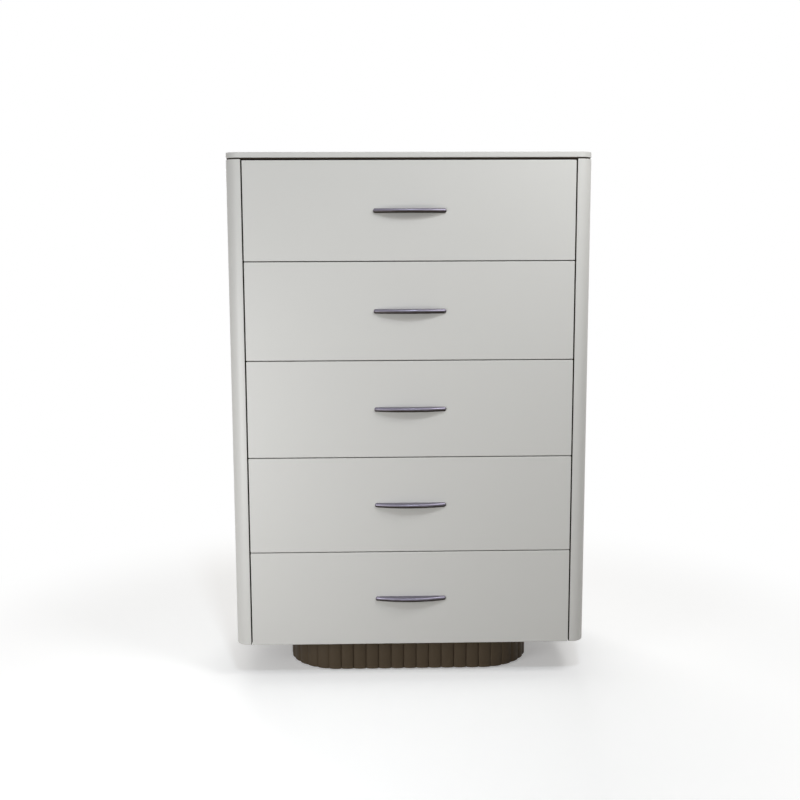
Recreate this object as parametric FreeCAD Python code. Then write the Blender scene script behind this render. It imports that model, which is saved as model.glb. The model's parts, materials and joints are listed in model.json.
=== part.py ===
"""Tall chest of five drawers on a reeded, round-cornered plinth, one STEP file per sub-part.

Millimetres, +Z up. The chest stands on Z = 0 and its front looks along -Y. X = 0 is the middle of its
width, and Y = 0 is half way from the tip of a handle to the back, so the origin is the bottom centre
of the closed chest's bounding box. Drawer 1 is the top one.
"""

import FreeCAD
import Part

import math
import os

Vector = FreeCAD.Vector

# Overall sizes
WIDTH = 800.0
DEPTH = 400.0  # drawer fronts to back edge, without the handles
HEIGHT = 1192.0  # floor to the upper face of the top slab

# Top: a thin slab that floats on a recessed spacer board
SLAB_T = 12.0
SLAB_CORNER_R = 30.0
SLAB_EDGE_R = 1.5
SPACER_T = 3.0
SPACER_RECESS = 2.0

# Carcass: an outer lacquered skin round an inner box of boards
SIDE_T = 18.0  # outer side panels
INNER_SIDE_T = 16.0  # inner panels, which carry the slides
POST_D = 34.0
POST_R = 30.0
BOARD_T = 18.0  # top board, bottom board and cross rails
RAIL_D = 60.0
BACK_T = 6.0
BACK_RECESS = 2.0
BOARD_EDGE_R = 1.0

# Drawer fronts
DRAWERS = 5
FRONT_T = 20.0
FRONT_EDGE_R = 1.5
FRONT_GAP = 2.0  # between two fronts
SIDE_GAP = 3.0  # between a front and a post
TOP_GAP = 2.5  # from the first front up to the tops of the posts
BEHIND_FRONT = 2.0  # air between the fronts and the carcass behind them

# Drawer boxes
BOX_T = 15.0
BOX_JOINT = 6.0  # depth of the corner rebates and of the groove for the bottom
BOX_BOTTOM_T = 6.0
BOX_BOTTOM_LIFT = 10.0  # from the box's lower edge to its bottom panel
BOX_LIFT = 24.0  # from a front's lower edge to its box
BOX_HEADROOM = 27.5  # from a box up to its front's upper edge
BOX_BACK_ROOM = 20.0  # from a box to the back panel, at least

# Three-section slides
SLIDE_STEP = 50.0  # slides come in lengths a step apart
SLIDE_ROOM = 13.0  # from a drawer box to the inner panel
SLIDE_H = 45.0
SLIDE_SHEET = 1.2
SLIDE_CLEARANCE = 0.4
SLIDE_BEND_R = 1.2
SLIDE_LIP = 2.0  # how far the channels' edges stay off the surface they face
SLIDE_SCREW_INSET = 38.0

# Handles: a crescent visor with a finger pocket below
HANDLE_L = 160.0
HANDLE_PROJECTION = 18.0
HANDLE_END = 4.0  # how far the ends stand off the front
HANDLE_H = 10.0
HANDLE_END_R = 4.2
HANDLE_LIP_R = 2.4
HANDLE_SCREW_INSET = 16.0  # from the handle's ends to its screws
HANDLE_SCREW_IN = 5.0
POCKET_INSET = 10.0  # from the screws to the finger pocket
POCKET_ROOF = 3.0
POCKET_LIP = 3.2

# Plinth: reeded band round two round-cornered boards with ribs between
PLINTH_H = 80.0
PLINTH_SIDE_INSET = 115.0
PLINTH_FRONT_INSET = 50.0
PLINTH_CORNER_R = 120.0
PLINTH_LEAST_RUN = 2.0  # the shortest straight run left between two corners
BAND_T = 8.0  # thickness at the valleys
REED_PITCH = 29.5
REED_RISE = 5.0
PLINTH_RIBS = 3
GLUE_LINE = 0.2  # between the band and what it is bent round
GLIDE_H = 4.0
GLIDE_R = 15.0
GLIDE_EDGE_R = 1.0
GLIDE_INSET_X = 95.0
GLIDE_INSET_Y = 55.0

# Fasteners
HOLE_CLEARANCE = 0.1
HOLE_END_ROOM = 0.5
SCREW_INSET = 60.0  # from a board's edge to its nearest screw
DRAWER_SCREW_INSET = 120.0  # from a drawer box's side to the screws that hold its front
PLINTH_END_INSET = 37.5  # from the plinth's ends to its outermost screws

NEAR = 1.0  # how near a face an edge has to lie to be picked for a round

# Worked out from the sizes above
FRONT_Y = (HANDLE_PROJECTION - DEPTH) / 2.0
BACK_Y = FRONT_Y + DEPTH
HALF_W = WIDTH / 2.0
CARCASS_BOTTOM = GLIDE_H + PLINTH_H
CARCASS_TOP = HEIGHT - SLAB_T - SPACER_T
POST_W = SIDE_T + INNER_SIDE_T
OPENING_X = HALF_W - POST_W  # half the width between the posts
BOARD_Y0 = FRONT_Y + FRONT_T + BEHIND_FRONT
BOARD_Y1 = BACK_Y - BACK_RECESS - BACK_T
FRONTS_TOP = CARCASS_TOP - TOP_GAP
FRONT_PITCH = (FRONTS_TOP - CARCASS_BOTTOM + FRONT_GAP) / DRAWERS
FRONT_H = FRONT_PITCH - FRONT_GAP
SLIDE_L = SLIDE_STEP * math.floor((BOARD_Y1 - BOARD_Y0 - BOX_BACK_ROOM) / SLIDE_STEP)
BOX_X = OPENING_X - SLIDE_ROOM
BOX_Y0 = FRONT_Y + FRONT_T
BOX_Y1 = BOARD_Y0 + SLIDE_L
BOX_H = FRONT_H - BOX_LIFT - BOX_HEADROOM
HANDLE_SPACING = HANDLE_L - 2.0 * HANDLE_SCREW_INSET
POCKET_L = HANDLE_SPACING - 2.0 * POCKET_INSET
PLINTH_Y = FRONT_Y + DEPTH / 2.0
PLINTH_HALF_W = HALF_W - PLINTH_SIDE_INSET
PLINTH_HALF_D = DEPTH / 2.0 - PLINTH_FRONT_INSET
CORNER_R = min(PLINTH_CORNER_R, PLINTH_HALF_D - PLINTH_LEAST_RUN / 2.0)
FRONT_RUN = PLINTH_HALF_W - CORNER_R  # half the straight run of the front
SIDE_RUN = PLINTH_HALF_D - CORNER_R  # half the straight run of a side
PLINTH_LAP = 4.0 * (FRONT_RUN + SIDE_RUN) + 2.0 * math.pi * CORNER_R


class Screw:
    """A screw with a round head: sunk flush into its surface, or standing on it."""

    def __init__(self, length, shank_r, head_r, head_h, sunk):
        self.length = length
        self.shank_r = shank_r
        self.head_r = head_r
        self.head_h = head_h
        self.sunk = sunk

    def solid(self, at, towards, spare=0.0, end_room=0.0):
        """The screw whose head seats on the surface point at, and whose tip points towards."""
        shank_r = self.shank_r + spare
        head_r = self.head_r + spare
        length = self.length + end_room
        if self.sunk:
            head = Part.makeCone(head_r, shank_r, self.head_h, at, towards)
            rest = at + towards * self.head_h
            shank = Part.makeCylinder(shank_r, length - self.head_h, rest, towards)
        else:
            head = Part.makeCylinder(head_r, self.head_h, at - towards * self.head_h, towards)
            shank = Part.makeCylinder(shank_r, length, at, towards)
        return head.fuse(shank).removeSplitter()

    def hole(self, at, towards):
        """What the screw takes out of the boards that it goes through."""
        return self.solid(at, towards, HOLE_CLEARANCE, HOLE_END_ROOM)


PANEL_SCREW = Screw(30.0, 2.0, 4.0, 2.4, True)
SLAB_SCREW = Screw(28.0, 2.0, 4.0, 2.4, True)
RAIL_SCREW = Screw(50.0, 2.5, 4.5, 3.0, True)
BOX_SCREW = Screw(30.0, 2.0, 4.0, 2.4, True)
SLIDE_SCREW = Screw(12.0, 1.8, 3.4, 1.0, False)
HANDLE_SCREW = Screw(BOX_T + FRONT_T + HANDLE_SCREW_IN, 2.0, 4.0, 2.4, False)


def block(x0, x1, y0, y1, z0, z1):
    """A box between two corners."""
    return Part.makeBox(x1 - x0, y1 - y0, z1 - z0, Vector(x0, y0, z0))


def mirrored(shape):
    """The same shape on the other side of the chest."""
    return shape.mirror(Vector(0, 0, 0), Vector(1, 0, 0))


def both_sides(shape):
    """A shape and its mirror image."""
    return [shape, mirrored(shape)]


def eased(shape, radius, chosen):
    """A shape with a round on each edge that chosen picks by its bounding box."""
    edges = [edge for edge in shape.Edges if chosen(edge.BoundBox)]
    return shape.makeFillet(radius, edges)


def drilled(shape, holes):
    """A shape with every hole that reaches it cut out."""
    near = [hole for hole in holes if hole.BoundBox.intersect(shape.BoundBox)]
    return shape.cut(near) if near else shape


def save(name, shapes):
    """Write one node's solids, checked, to its STEP file."""
    solids = [solid for shape in shapes for solid in shape.Solids]
    for solid in solids:
        if not solid.isValid() or solid.Volume <= 0.0:
            raise ValueError(f"{name} holds a bad solid")
    shape = solids[0] if len(solids) == 1 else Part.makeCompound(solids)
    shape.exportStep(os.path.join("parts", f"{name}.step"))
    print(f"{name}: {len(solids)} solids")


def spread(count, half_range):
    """Evenly spaced places from -half_range to half_range."""
    step = 2.0 * half_range / (count - 1)
    return [index * step - half_range for index in range(count)]


def front_bottom(drawer):
    """Z of a front's lower edge. Drawer 1 is at the top."""
    return CARCASS_BOTTOM + (DRAWERS - drawer) * FRONT_PITCH


def slide_middle_z(drawer):
    """Z of the middle of a drawer's slides."""
    return front_bottom(drawer) + BOX_LIFT + BOX_H / 2.0


# ---------------------------------------------------------------- top

def rounded_slab(inset, z0, z1):
    """A board over the whole carcass, less an inset, with round front corners."""
    board = block(-HALF_W + inset, HALF_W - inset, FRONT_Y + inset, BACK_Y - inset, z0, z1)
    middle_y = (FRONT_Y + BACK_Y) / 2.0
    upright_in_front = lambda box: box.ZLength > (z1 - z0) / 2.0 and box.YMax < middle_y
    return eased(board, SLAB_CORNER_R - inset, upright_in_front)


def top_slab():
    """The slab, with eased upper and lower edges."""
    slab = rounded_slab(0.0, CARCASS_TOP + SPACER_T, HEIGHT)
    return eased(slab, SLAB_EDGE_R, lambda box: box.ZLength < SLAB_EDGE_R)


def top_spacer_board():
    """The thin dark board that leaves a shadow line under the slab."""
    return rounded_slab(SPACER_RECESS, CARCASS_TOP, CARCASS_TOP + SPACER_T)


# ---------------------------------------------------------------- carcass

def corner_post():
    """The right front post, with its quarter-round outer corner."""
    post = block(OPENING_X, HALF_W, FRONT_Y, FRONT_Y + POST_D, CARCASS_BOTTOM, CARCASS_TOP)
    tall = CARCASS_TOP - CARCASS_BOTTOM
    outer = lambda box: box.ZLength > tall / 2.0 and box.XMin > OPENING_X and box.YMax < FRONT_Y + POST_D
    inner = lambda box: box.ZLength > tall / 2.0 and box.XMax < HALF_W - NEAR and box.YMax < FRONT_Y + NEAR
    corner_r = min(POST_R, POST_W - 2.0 * BOARD_EDGE_R, POST_D - 2.0 * BOARD_EDGE_R)
    return eased(eased(post, corner_r, outer), BOARD_EDGE_R, inner)


def side_panel():
    """The right outer panel, from the post to the back."""
    return block(HALF_W - SIDE_T, HALF_W, FRONT_Y + POST_D, BACK_Y, CARCASS_BOTTOM, CARCASS_TOP)


def inner_side_panel():
    """The right inner panel, from the post to the back panel."""
    return block(OPENING_X, OPENING_X + INNER_SIDE_T, FRONT_Y + POST_D, BOARD_Y1,
                 CARCASS_BOTTOM, CARCASS_TOP)


def carcass_board(z0, depth):
    """A board between the inner panels, starting just behind the drawer fronts."""
    return block(-OPENING_X, OPENING_X, BOARD_Y0, BOARD_Y0 + depth, z0, z0 + BOARD_T)


def rail_bottoms():
    """Z of the underside of each cross rail, one behind each gap between fronts."""
    gaps = [front_bottom(drawer) - FRONT_GAP / 2.0 for drawer in range(1, DRAWERS)]
    return [gap - BOARD_T / 2.0 for gap in gaps]


def back_panel():
    """The thin panel set into the back, between the outer side panels."""
    return block(-HALF_W + SIDE_T, HALF_W - SIDE_T, BOARD_Y1, BOARD_Y1 + BACK_T,
                 CARCASS_BOTTOM, CARCASS_TOP)


# ---------------------------------------------------------------- plinth

def track_point(distance, offset, z):
    """A point on the plinth's round-cornered outline, offset outwards, at a distance along it.

    The distance is measured on the outermost line and starts in the middle of the front.
    """
    quarter = PLINTH_LAP / 4.0
    turn, along = divmod(distance % PLINTH_LAP, quarter)
    if turn % 2 == 1:  # from the middle of a side back to the front or rear: the same shape mirrored
        along = quarter - along
    bend = math.pi * CORNER_R / 2.0
    radius = CORNER_R + offset
    if along <= FRONT_RUN:
        x, y = along, -SIDE_RUN - radius
    elif along <= FRONT_RUN + bend:
        angle = (along - FRONT_RUN) / CORNER_R
        x, y = FRONT_RUN + radius * math.sin(angle), -SIDE_RUN - radius * math.cos(angle)
    else:
        x, y = FRONT_RUN + radius, along - FRONT_RUN - bend - SIDE_RUN
    side_x = 1.0 if turn < 2 else -1.0
    side_y = 1.0 if turn in (0, 3) else -1.0
    return Vector(side_x * x, PLINTH_Y + side_y * y, z)


def plinth_outline(offset, z0, z1):
    """A solid with the plinth's round-cornered outline, offset from its outermost line."""
    half_w = PLINTH_HALF_W + offset
    half_d = PLINTH_HALF_D + offset
    solid = block(-half_w, half_w, PLINTH_Y - half_d, PLINTH_Y + half_d, z0, z1)
    return eased(solid, CORNER_R + offset, lambda box: box.ZLength > (z1 - z0) / 2.0)


def plinth_reeded_band():
    """The band with its upright convex reeds, one of them in the middle of the front."""
    reeds = 2 * round(PLINTH_LAP / REED_PITCH / 2.0)
    pitch = PLINTH_LAP / reeds
    edges = []
    for reed in range(reeds):
        start = track_point((reed - 0.5) * pitch, -REED_RISE, GLIDE_H)
        crest = track_point(reed * pitch, 0.0, GLIDE_H)
        end = track_point((reed + 0.5) * pitch, -REED_RISE, GLIDE_H)
        edges.append(Part.Arc(start, crest, end).toShape())
    reeded = Part.Face(Part.Wire(edges)).extrude(Vector(0, 0, PLINTH_H))
    return reeded.cut(plinth_outline(-REED_RISE - BAND_T, GLIDE_H, CARCASS_BOTTOM))


def plinth_board(z0):
    """A board that the band is bent round."""
    return plinth_outline(-REED_RISE - BAND_T - GLUE_LINE, z0, z0 + BOARD_T)


def plinth_ribs():
    """Upright ribs between the two plinth boards."""
    half_depth = PLINTH_HALF_D - REED_RISE - BAND_T - GLUE_LINE
    ribs = []
    for x in spread(PLINTH_RIBS, FRONT_RUN - BOARD_T / 2.0):
        ribs.append(block(x - BOARD_T / 2.0, x + BOARD_T / 2.0, PLINTH_Y - half_depth,
                          PLINTH_Y + half_depth, GLIDE_H + BOARD_T, CARCASS_BOTTOM - BOARD_T))
    return ribs


def foot_glides():
    """Round pads under the plinth's base board."""
    x = PLINTH_HALF_W - GLIDE_INSET_X
    y = PLINTH_HALF_D - GLIDE_INSET_Y
    places = [(sx * x, PLINTH_Y + sy * y) for sx in (-1, 1) for sy in (-1, 1)]
    pads = [Part.makeCylinder(GLIDE_R, GLIDE_H, Vector(px, py, 0)) for px, py in places]
    return [eased(pad, GLIDE_EDGE_R, lambda box: box.ZMax < GLIDE_H / 2.0) for pad in pads]


# ---------------------------------------------------------------- slides

def channel(web_x, edge_x, half_h, y0):
    """A right-hand slide member: a channel with its web at web_x and its flanges towards edge_x."""
    inward = 1.0 if edge_x > web_x else -1.0
    x0, x1 = min(web_x, edge_x), max(web_x, edge_x)
    outer = block(x0, x1, y0, y0 + SLIDE_L, -half_h, half_h)
    at_web = lambda box: box.YLength > SLIDE_L / 2.0 and abs(box.Center.x - web_x) < SLIDE_SHEET * 1.5
    outer = eased(outer, SLIDE_BEND_R, at_web)
    hollow_x0, hollow_x1 = sorted((web_x + inward * SLIDE_SHEET, edge_x + inward * SLIDE_SHEET))
    hollow_h = half_h - SLIDE_SHEET
    hollow = block(hollow_x0, hollow_x1, y0 - SLIDE_SHEET, y0 + SLIDE_L + SLIDE_SHEET, -hollow_h, hollow_h)
    return outer.cut(hollow)


def cabinet_member(drawer):
    """The right channel that is screwed to the inner panel."""
    member = channel(OPENING_X, BOX_X + SLIDE_LIP, SLIDE_H / 2.0, BOARD_Y0)
    member.translate(Vector(0, 0, slide_middle_z(drawer)))
    return member


def middle_member(drawer):
    """The right channel that runs between the other two, clear of the cabinet member's screws."""
    web_x = OPENING_X - SLIDE_SHEET - SLIDE_SCREW.head_h - SLIDE_CLEARANCE
    half_h = SLIDE_H / 2.0 - SLIDE_SHEET - SLIDE_CLEARANCE
    member = channel(web_x, BOX_X + SLIDE_LIP, half_h, BOARD_Y0)
    member.translate(Vector(0, 0, slide_middle_z(drawer)))
    return member


def drawer_member(drawer):
    """The right channel that is screwed to the drawer box."""
    middle_web_x = OPENING_X - 2.0 * SLIDE_SHEET - SLIDE_SCREW.head_h - SLIDE_CLEARANCE
    half_h = SLIDE_H / 2.0 - 2.0 * (SLIDE_SHEET + SLIDE_CLEARANCE)
    member = channel(BOX_X, middle_web_x - SLIDE_CLEARANCE, half_h, BOARD_Y0)
    member.translate(Vector(0, 0, slide_middle_z(drawer)))
    return member


def slide_screw_ys():
    """Y of the screws along a slide."""
    return [BOARD_Y0 + SLIDE_SCREW_INSET, BOARD_Y0 + SLIDE_L - SLIDE_SCREW_INSET]


def cabinet_slide_screws(drawer):
    """Places and directions of one drawer's screws in the right inner panel."""
    x = OPENING_X - SLIDE_SHEET
    return [(Vector(x, y, slide_middle_z(drawer)), Vector(1, 0, 0)) for y in slide_screw_ys()]


def box_slide_screws(drawer):
    """Places and directions of the screws in the right side of one drawer box."""
    x = BOX_X + SLIDE_SHEET
    return [(Vector(x, y, slide_middle_z(drawer)), Vector(-1, 0, 0)) for y in slide_screw_ys()]


# ---------------------------------------------------------------- fasteners of the carcass

def rail_screw_places():
    """Long screws through the right inner panel into the ends of rails and boards."""
    across = Vector(-1, 0, 0)
    x = OPENING_X + INNER_SIDE_T
    rail_ys = [FRONT_Y + POST_D + (BOARD_Y0 + RAIL_D - FRONT_Y - POST_D) / 2.0]
    board_ys = [rail_ys[0], BOARD_Y1 - SCREW_INSET / 2.0]
    places = [(z, rail_ys) for z in rail_bottoms()]
    places += [(z, board_ys) for z in (CARCASS_BOTTOM, CARCASS_TOP - BOARD_T)]
    return [(Vector(x, y, z + BOARD_T / 2.0), across) for z, ys in places for y in ys]


def side_screw_places():
    """Screws through the right inner panel into the outer panel, one row under each cross rail."""
    ys = (FRONT_Y + POST_D + SCREW_INSET, BOARD_Y1 - SCREW_INSET)
    zs = [bottom - BOARD_T for bottom in rail_bottoms()]
    return [(Vector(OPENING_X, y, z), Vector(1, 0, 0)) for y in ys for z in zs]


def slab_screw_places():
    """Screws up through the top board and the spacer into the slab."""
    ys = (BOARD_Y0 + SCREW_INSET, BOARD_Y1 - SCREW_INSET)
    z = CARCASS_TOP - BOARD_T
    return [(Vector(x, y, z), Vector(0, 0, 1)) for x in spread(3, OPENING_X - SCREW_INSET) for y in ys]


def plinth_screw_places():
    """Screws down through the bottom board into the plinth's top board."""
    ys = (PLINTH_Y - PLINTH_HALF_D / 2.0, PLINTH_Y + PLINTH_HALF_D / 2.0)
    z = CARCASS_BOTTOM + BOARD_T
    between_ribs = spread(2 * PLINTH_RIBS - 1, FRONT_RUN)[1::2]
    end_x = PLINTH_HALF_W - PLINTH_END_INSET
    xs = [-end_x, *between_ribs, end_x]
    return [(Vector(x, y, z), Vector(0, 0, -1)) for x in xs for y in ys]


def back_screw_places():
    """Screws through the back panel into the inner panels and the boards."""
    y = BOARD_Y1 + BACK_T
    side_x = OPENING_X + INNER_SIDE_T / 2.0
    middle_z = (CARCASS_BOTTOM + CARCASS_TOP) / 2.0
    side_zs = [middle_z + z for z in spread(4, (CARCASS_TOP - CARCASS_BOTTOM) / 2.0 - SCREW_INSET)]
    board_zs = (CARCASS_BOTTOM + BOARD_T / 2.0, CARCASS_TOP - BOARD_T / 2.0)
    points = [(x, z) for x in (-side_x, side_x) for z in side_zs]
    points += [(x, z) for x in spread(3, OPENING_X - 2.0 * SCREW_INSET) for z in board_zs]
    return [(Vector(x, y, z), Vector(0, -1, 0)) for x, z in points]


def save_carcass():
    """Everything that stays still."""
    rail = [RAIL_SCREW.solid(*place) for place in rail_screw_places()]
    rail_holes = [RAIL_SCREW.hole(*place) for place in rail_screw_places()]
    side = [PANEL_SCREW.solid(*place) for place in side_screw_places()]
    side_holes = [PANEL_SCREW.hole(*place) for place in side_screw_places()]
    slide_places = [place for drawer in range(1, DRAWERS + 1) for place in cabinet_slide_screws(drawer)]
    slide = [SLIDE_SCREW.solid(*place) for place in slide_places]
    slide_holes = [SLIDE_SCREW.hole(*place) for place in slide_places]
    slab_screws = [SLAB_SCREW.solid(*place) for place in slab_screw_places()]
    flat_places = plinth_screw_places() + back_screw_places()
    flat = [PANEL_SCREW.solid(*place) for place in flat_places]
    right_holes = rail_holes + side_holes + slide_holes
    holes = right_holes + [mirrored(hole) for hole in right_holes]
    holes += [SLAB_SCREW.hole(*place) for place in slab_screw_places()]
    holes += [PANEL_SCREW.hole(*place) for place in flat_places]

    save("top_slab", [drilled(top_slab(), holes)])
    save("top_spacer_board", [drilled(top_spacer_board(), holes)])
    save("carcass_top_board", [drilled(carcass_board(CARCASS_TOP - BOARD_T, BOARD_Y1 - BOARD_Y0), holes)])
    save("bottom_board", [drilled(carcass_board(CARCASS_BOTTOM, BOARD_Y1 - BOARD_Y0), holes)])
    save("cross_rails", [drilled(carcass_board(z, RAIL_D), holes) for z in rail_bottoms()])
    save("right_corner_post", [corner_post()])
    save("left_corner_post", [mirrored(corner_post())])
    panel = drilled(side_panel(), right_holes)
    save("right_side_panel", [panel])
    save("left_side_panel", [mirrored(panel)])
    save("inner_side_panels", [drilled(panel, holes) for panel in both_sides(inner_side_panel())])
    save("back_panel", [drilled(back_panel(), holes)])
    save("plinth_reeded_band", [plinth_reeded_band()])
    save("plinth_top_board", [drilled(plinth_board(CARCASS_BOTTOM - BOARD_T), holes)])
    save("plinth_base_board", [plinth_board(GLIDE_H)])
    save("plinth_ribs", plinth_ribs())
    save("foot_glides", foot_glides())
    members = [cabinet_member(drawer).cut(slide_holes) for drawer in range(1, DRAWERS + 1)]
    save("slide_cabinet_members", [each for member in members for each in both_sides(member)])
    save("slide_screws", [each for screw in slide for each in both_sides(screw)])
    save("carcass_rail_screws", [each for screw in rail for each in both_sides(screw)])
    save("panel_screws", slab_screws + flat + [each for screw in side for each in both_sides(screw)])


# ---------------------------------------------------------------- drawers

def drawer_front(drawer):
    """The lacquered front, with rounded edges all round its face."""
    z0 = front_bottom(drawer)
    half_w = OPENING_X - SIDE_GAP
    front = block(-half_w, half_w, FRONT_Y, FRONT_Y + FRONT_T, z0, z0 + FRONT_H)
    return eased(front, FRONT_EDGE_R, lambda box: box.YMax < FRONT_Y + FRONT_T / 2.0)


def box_bottom(drawer):
    """The drawer's bottom panel, which sits in a groove all round."""
    half_w = BOX_X - BOX_T + BOX_JOINT
    z0 = front_bottom(drawer) + BOX_LIFT + BOX_BOTTOM_LIFT
    inset = BOX_T - BOX_JOINT
    return block(-half_w, half_w, BOX_Y0 + inset, BOX_Y1 - inset, z0, z0 + BOX_BOTTOM_T)


def box_end(drawer, y0):
    """The box's own front board or its back board, housed in the sides."""
    half_w = BOX_X - BOX_T + BOX_JOINT
    z0 = front_bottom(drawer) + BOX_LIFT
    return block(-half_w, half_w, y0, y0 + BOX_T, z0, z0 + BOX_H)


def box_side(drawer):
    """The right side of the box."""
    z0 = front_bottom(drawer) + BOX_LIFT
    return block(BOX_X - BOX_T, BOX_X, BOX_Y0, BOX_Y1, z0, z0 + BOX_H)


def handle(drawer):
    """A crescent visor: flat back, bowed lip with a rounded upper edge, pocket for fingers below."""
    half_l = HANDLE_L / 2.0
    tip = Vector(0, -HANDLE_PROJECTION, 0)
    right = Vector(half_l, -HANDLE_END, 0)
    left = Vector(-half_l, -HANDLE_END, 0)
    lip = Part.Arc(left, tip, right).toShape()
    outline = [
        lip,
        Part.LineSegment(right, Vector(half_l, 0, 0)).toShape(),
        Part.LineSegment(Vector(half_l, 0, 0), Vector(-half_l, 0, 0)).toShape(),
        Part.LineSegment(Vector(-half_l, 0, 0), left).toShape(),
    ]
    body = Part.Face(Part.Wire(outline)).extrude(Vector(0, 0, HANDLE_H))
    body = eased(body, HANDLE_END_R, lambda box: box.XLength < NEAR and box.ZLength < NEAR)
    # The round runs on from the lip's upper edge round both ends to its lower edge.
    lip_top = lambda box: box.XLength > POCKET_L and box.YMax < -HANDLE_END and box.ZMin > HANDLE_H / 2.0
    body = eased(body, HANDLE_LIP_R, lip_top)
    pocket_h = HANDLE_H - POCKET_ROOF
    inside = Part.makeCylinder(lip.Curve.Radius - POCKET_LIP, pocket_h, lip.Curve.Center)
    pocket = inside.common(block(-POCKET_L / 2.0, POCKET_L / 2.0, -HANDLE_PROJECTION, 0, 0, pocket_h))
    body = body.cut(pocket)
    body.translate(Vector(0, FRONT_Y, front_bottom(drawer) + (FRONT_H - HANDLE_H) / 2.0))
    return body


def handle_screw_places(drawer):
    """From inside the box, through its front board and the front, into the handle."""
    z = front_bottom(drawer) + FRONT_H / 2.0
    y = BOX_Y0 + BOX_T
    return [(Vector(x, y, z), Vector(0, -1, 0)) for x in (-HANDLE_SPACING / 2.0, HANDLE_SPACING / 2.0)]


def front_screw_places(drawer):
    """From inside the box, through its front board into the back of the front."""
    middle_z = front_bottom(drawer) + BOX_LIFT + BOX_H / 2.0
    y = BOX_Y0 + BOX_T
    return [(Vector(x, y, middle_z + z), Vector(0, -1, 0))
            for x in spread(2, BOX_X - DRAWER_SCREW_INSET) for z in spread(2, BOX_H / 4.0)]


def save_drawer(drawer):
    """One drawer: its box, front, handle, slides and screws."""
    handle_places = handle_screw_places(drawer)
    front_places = front_screw_places(drawer)
    slide_places = box_slide_screws(drawer)
    slide_screws = [SLIDE_SCREW.solid(*place) for place in slide_places]
    slide_holes = [SLIDE_SCREW.hole(*place) for place in slide_places]
    screws = [HANDLE_SCREW.solid(*place) for place in handle_places]
    screws += [BOX_SCREW.solid(*place) for place in front_places]
    screws += [each for screw in slide_screws for each in both_sides(screw)]
    holes = [HANDLE_SCREW.hole(*place) for place in handle_places]
    holes += [BOX_SCREW.hole(*place) for place in front_places]
    bottom = box_bottom(drawer)
    ends = [box_end(drawer, y0) for y0 in (BOX_Y0, BOX_Y1 - BOX_T)]
    side = box_side(drawer).cut([bottom, *ends, *slide_holes])

    name = f"drawer_{drawer}"
    save(f"{name}_front", [drilled(drawer_front(drawer), holes)])
    save(f"{name}_box_sides", both_sides(side))
    save(f"{name}_box_ends", [drilled(end, [bottom, *holes]) for end in ends])
    save(f"{name}_bottom", [bottom])
    save(f"{name}_handle", [drilled(handle(drawer), holes)])
    save(f"{name}_screws", screws)
    save(f"{name}_slide_members", both_sides(drawer_member(drawer).cut(slide_holes)))
    save(f"{name}_middle_members", both_sides(middle_member(drawer)))


def main():
    """Write the whole chest."""
    os.makedirs("parts", exist_ok=True)
    save_carcass()
    for drawer in range(1, DRAWERS + 1):
        save_drawer(drawer)


main()
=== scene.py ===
"""The finished look of a tall chest of five drawers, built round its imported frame.

Metres, +Z up, and the front looks along -Y. Places come from the frame's nodes. Every piece keeps
its object at the origin, with its place in its mesh, and rides on the body that carries it.
"""

import json
import logging
import math
from collections.abc import Iterable, Sequence
from dataclasses import dataclass
from enum import Enum
from typing import Any

import bmesh
import bpy
from mathutils import Matrix, Vector

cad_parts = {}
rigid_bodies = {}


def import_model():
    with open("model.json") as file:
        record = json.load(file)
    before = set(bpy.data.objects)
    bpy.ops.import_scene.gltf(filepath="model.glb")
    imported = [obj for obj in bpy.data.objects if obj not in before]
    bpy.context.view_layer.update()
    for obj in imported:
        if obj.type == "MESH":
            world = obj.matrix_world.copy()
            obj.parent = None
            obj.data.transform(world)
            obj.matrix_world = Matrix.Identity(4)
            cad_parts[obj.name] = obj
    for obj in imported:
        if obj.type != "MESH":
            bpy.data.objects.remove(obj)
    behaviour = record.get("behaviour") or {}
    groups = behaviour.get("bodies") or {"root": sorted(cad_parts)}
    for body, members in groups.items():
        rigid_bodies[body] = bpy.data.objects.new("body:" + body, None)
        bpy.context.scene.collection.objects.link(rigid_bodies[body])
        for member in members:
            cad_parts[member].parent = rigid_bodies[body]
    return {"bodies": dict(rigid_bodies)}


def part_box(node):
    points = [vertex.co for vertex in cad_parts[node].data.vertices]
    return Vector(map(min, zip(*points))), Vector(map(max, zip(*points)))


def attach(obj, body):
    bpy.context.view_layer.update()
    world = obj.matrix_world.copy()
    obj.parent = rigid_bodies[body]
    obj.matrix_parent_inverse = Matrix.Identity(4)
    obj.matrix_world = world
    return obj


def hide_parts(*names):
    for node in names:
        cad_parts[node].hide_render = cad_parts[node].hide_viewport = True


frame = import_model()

LOG = logging.getLogger("chest")
MM = 0.001
DRAWERS = sum(1 for body in frame["bodies"] if body.endswith("_middle"))
CARCASS = "carcass"
SHARP_EDGE = math.radians(40.0)
RIGHT, LEFT = Vector((1.0, 0.0, 0.0)), Vector((-1.0, 0.0, 0.0))
REAR = Vector((0.0, 1.0, 0.0))
UP, DOWN = Vector((0.0, 0.0, 1.0)), Vector((0.0, 0.0, -1.0))
Colour = tuple[float, float, float]
Outline = list[tuple[float, float]]


class Axis(Enum):
    """A direction that a board's grain or a brushed line runs in."""

    X = 0
    Y = 1
    Z = 2


class Head(Enum):
    """How a screw's head sits on its surface."""

    SUNK = "countersunk flush"
    PAN = "standing on the surface"
    RAISED = "countersunk with a raised top"


# ---------------------------------------------------------------- node trees


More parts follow.
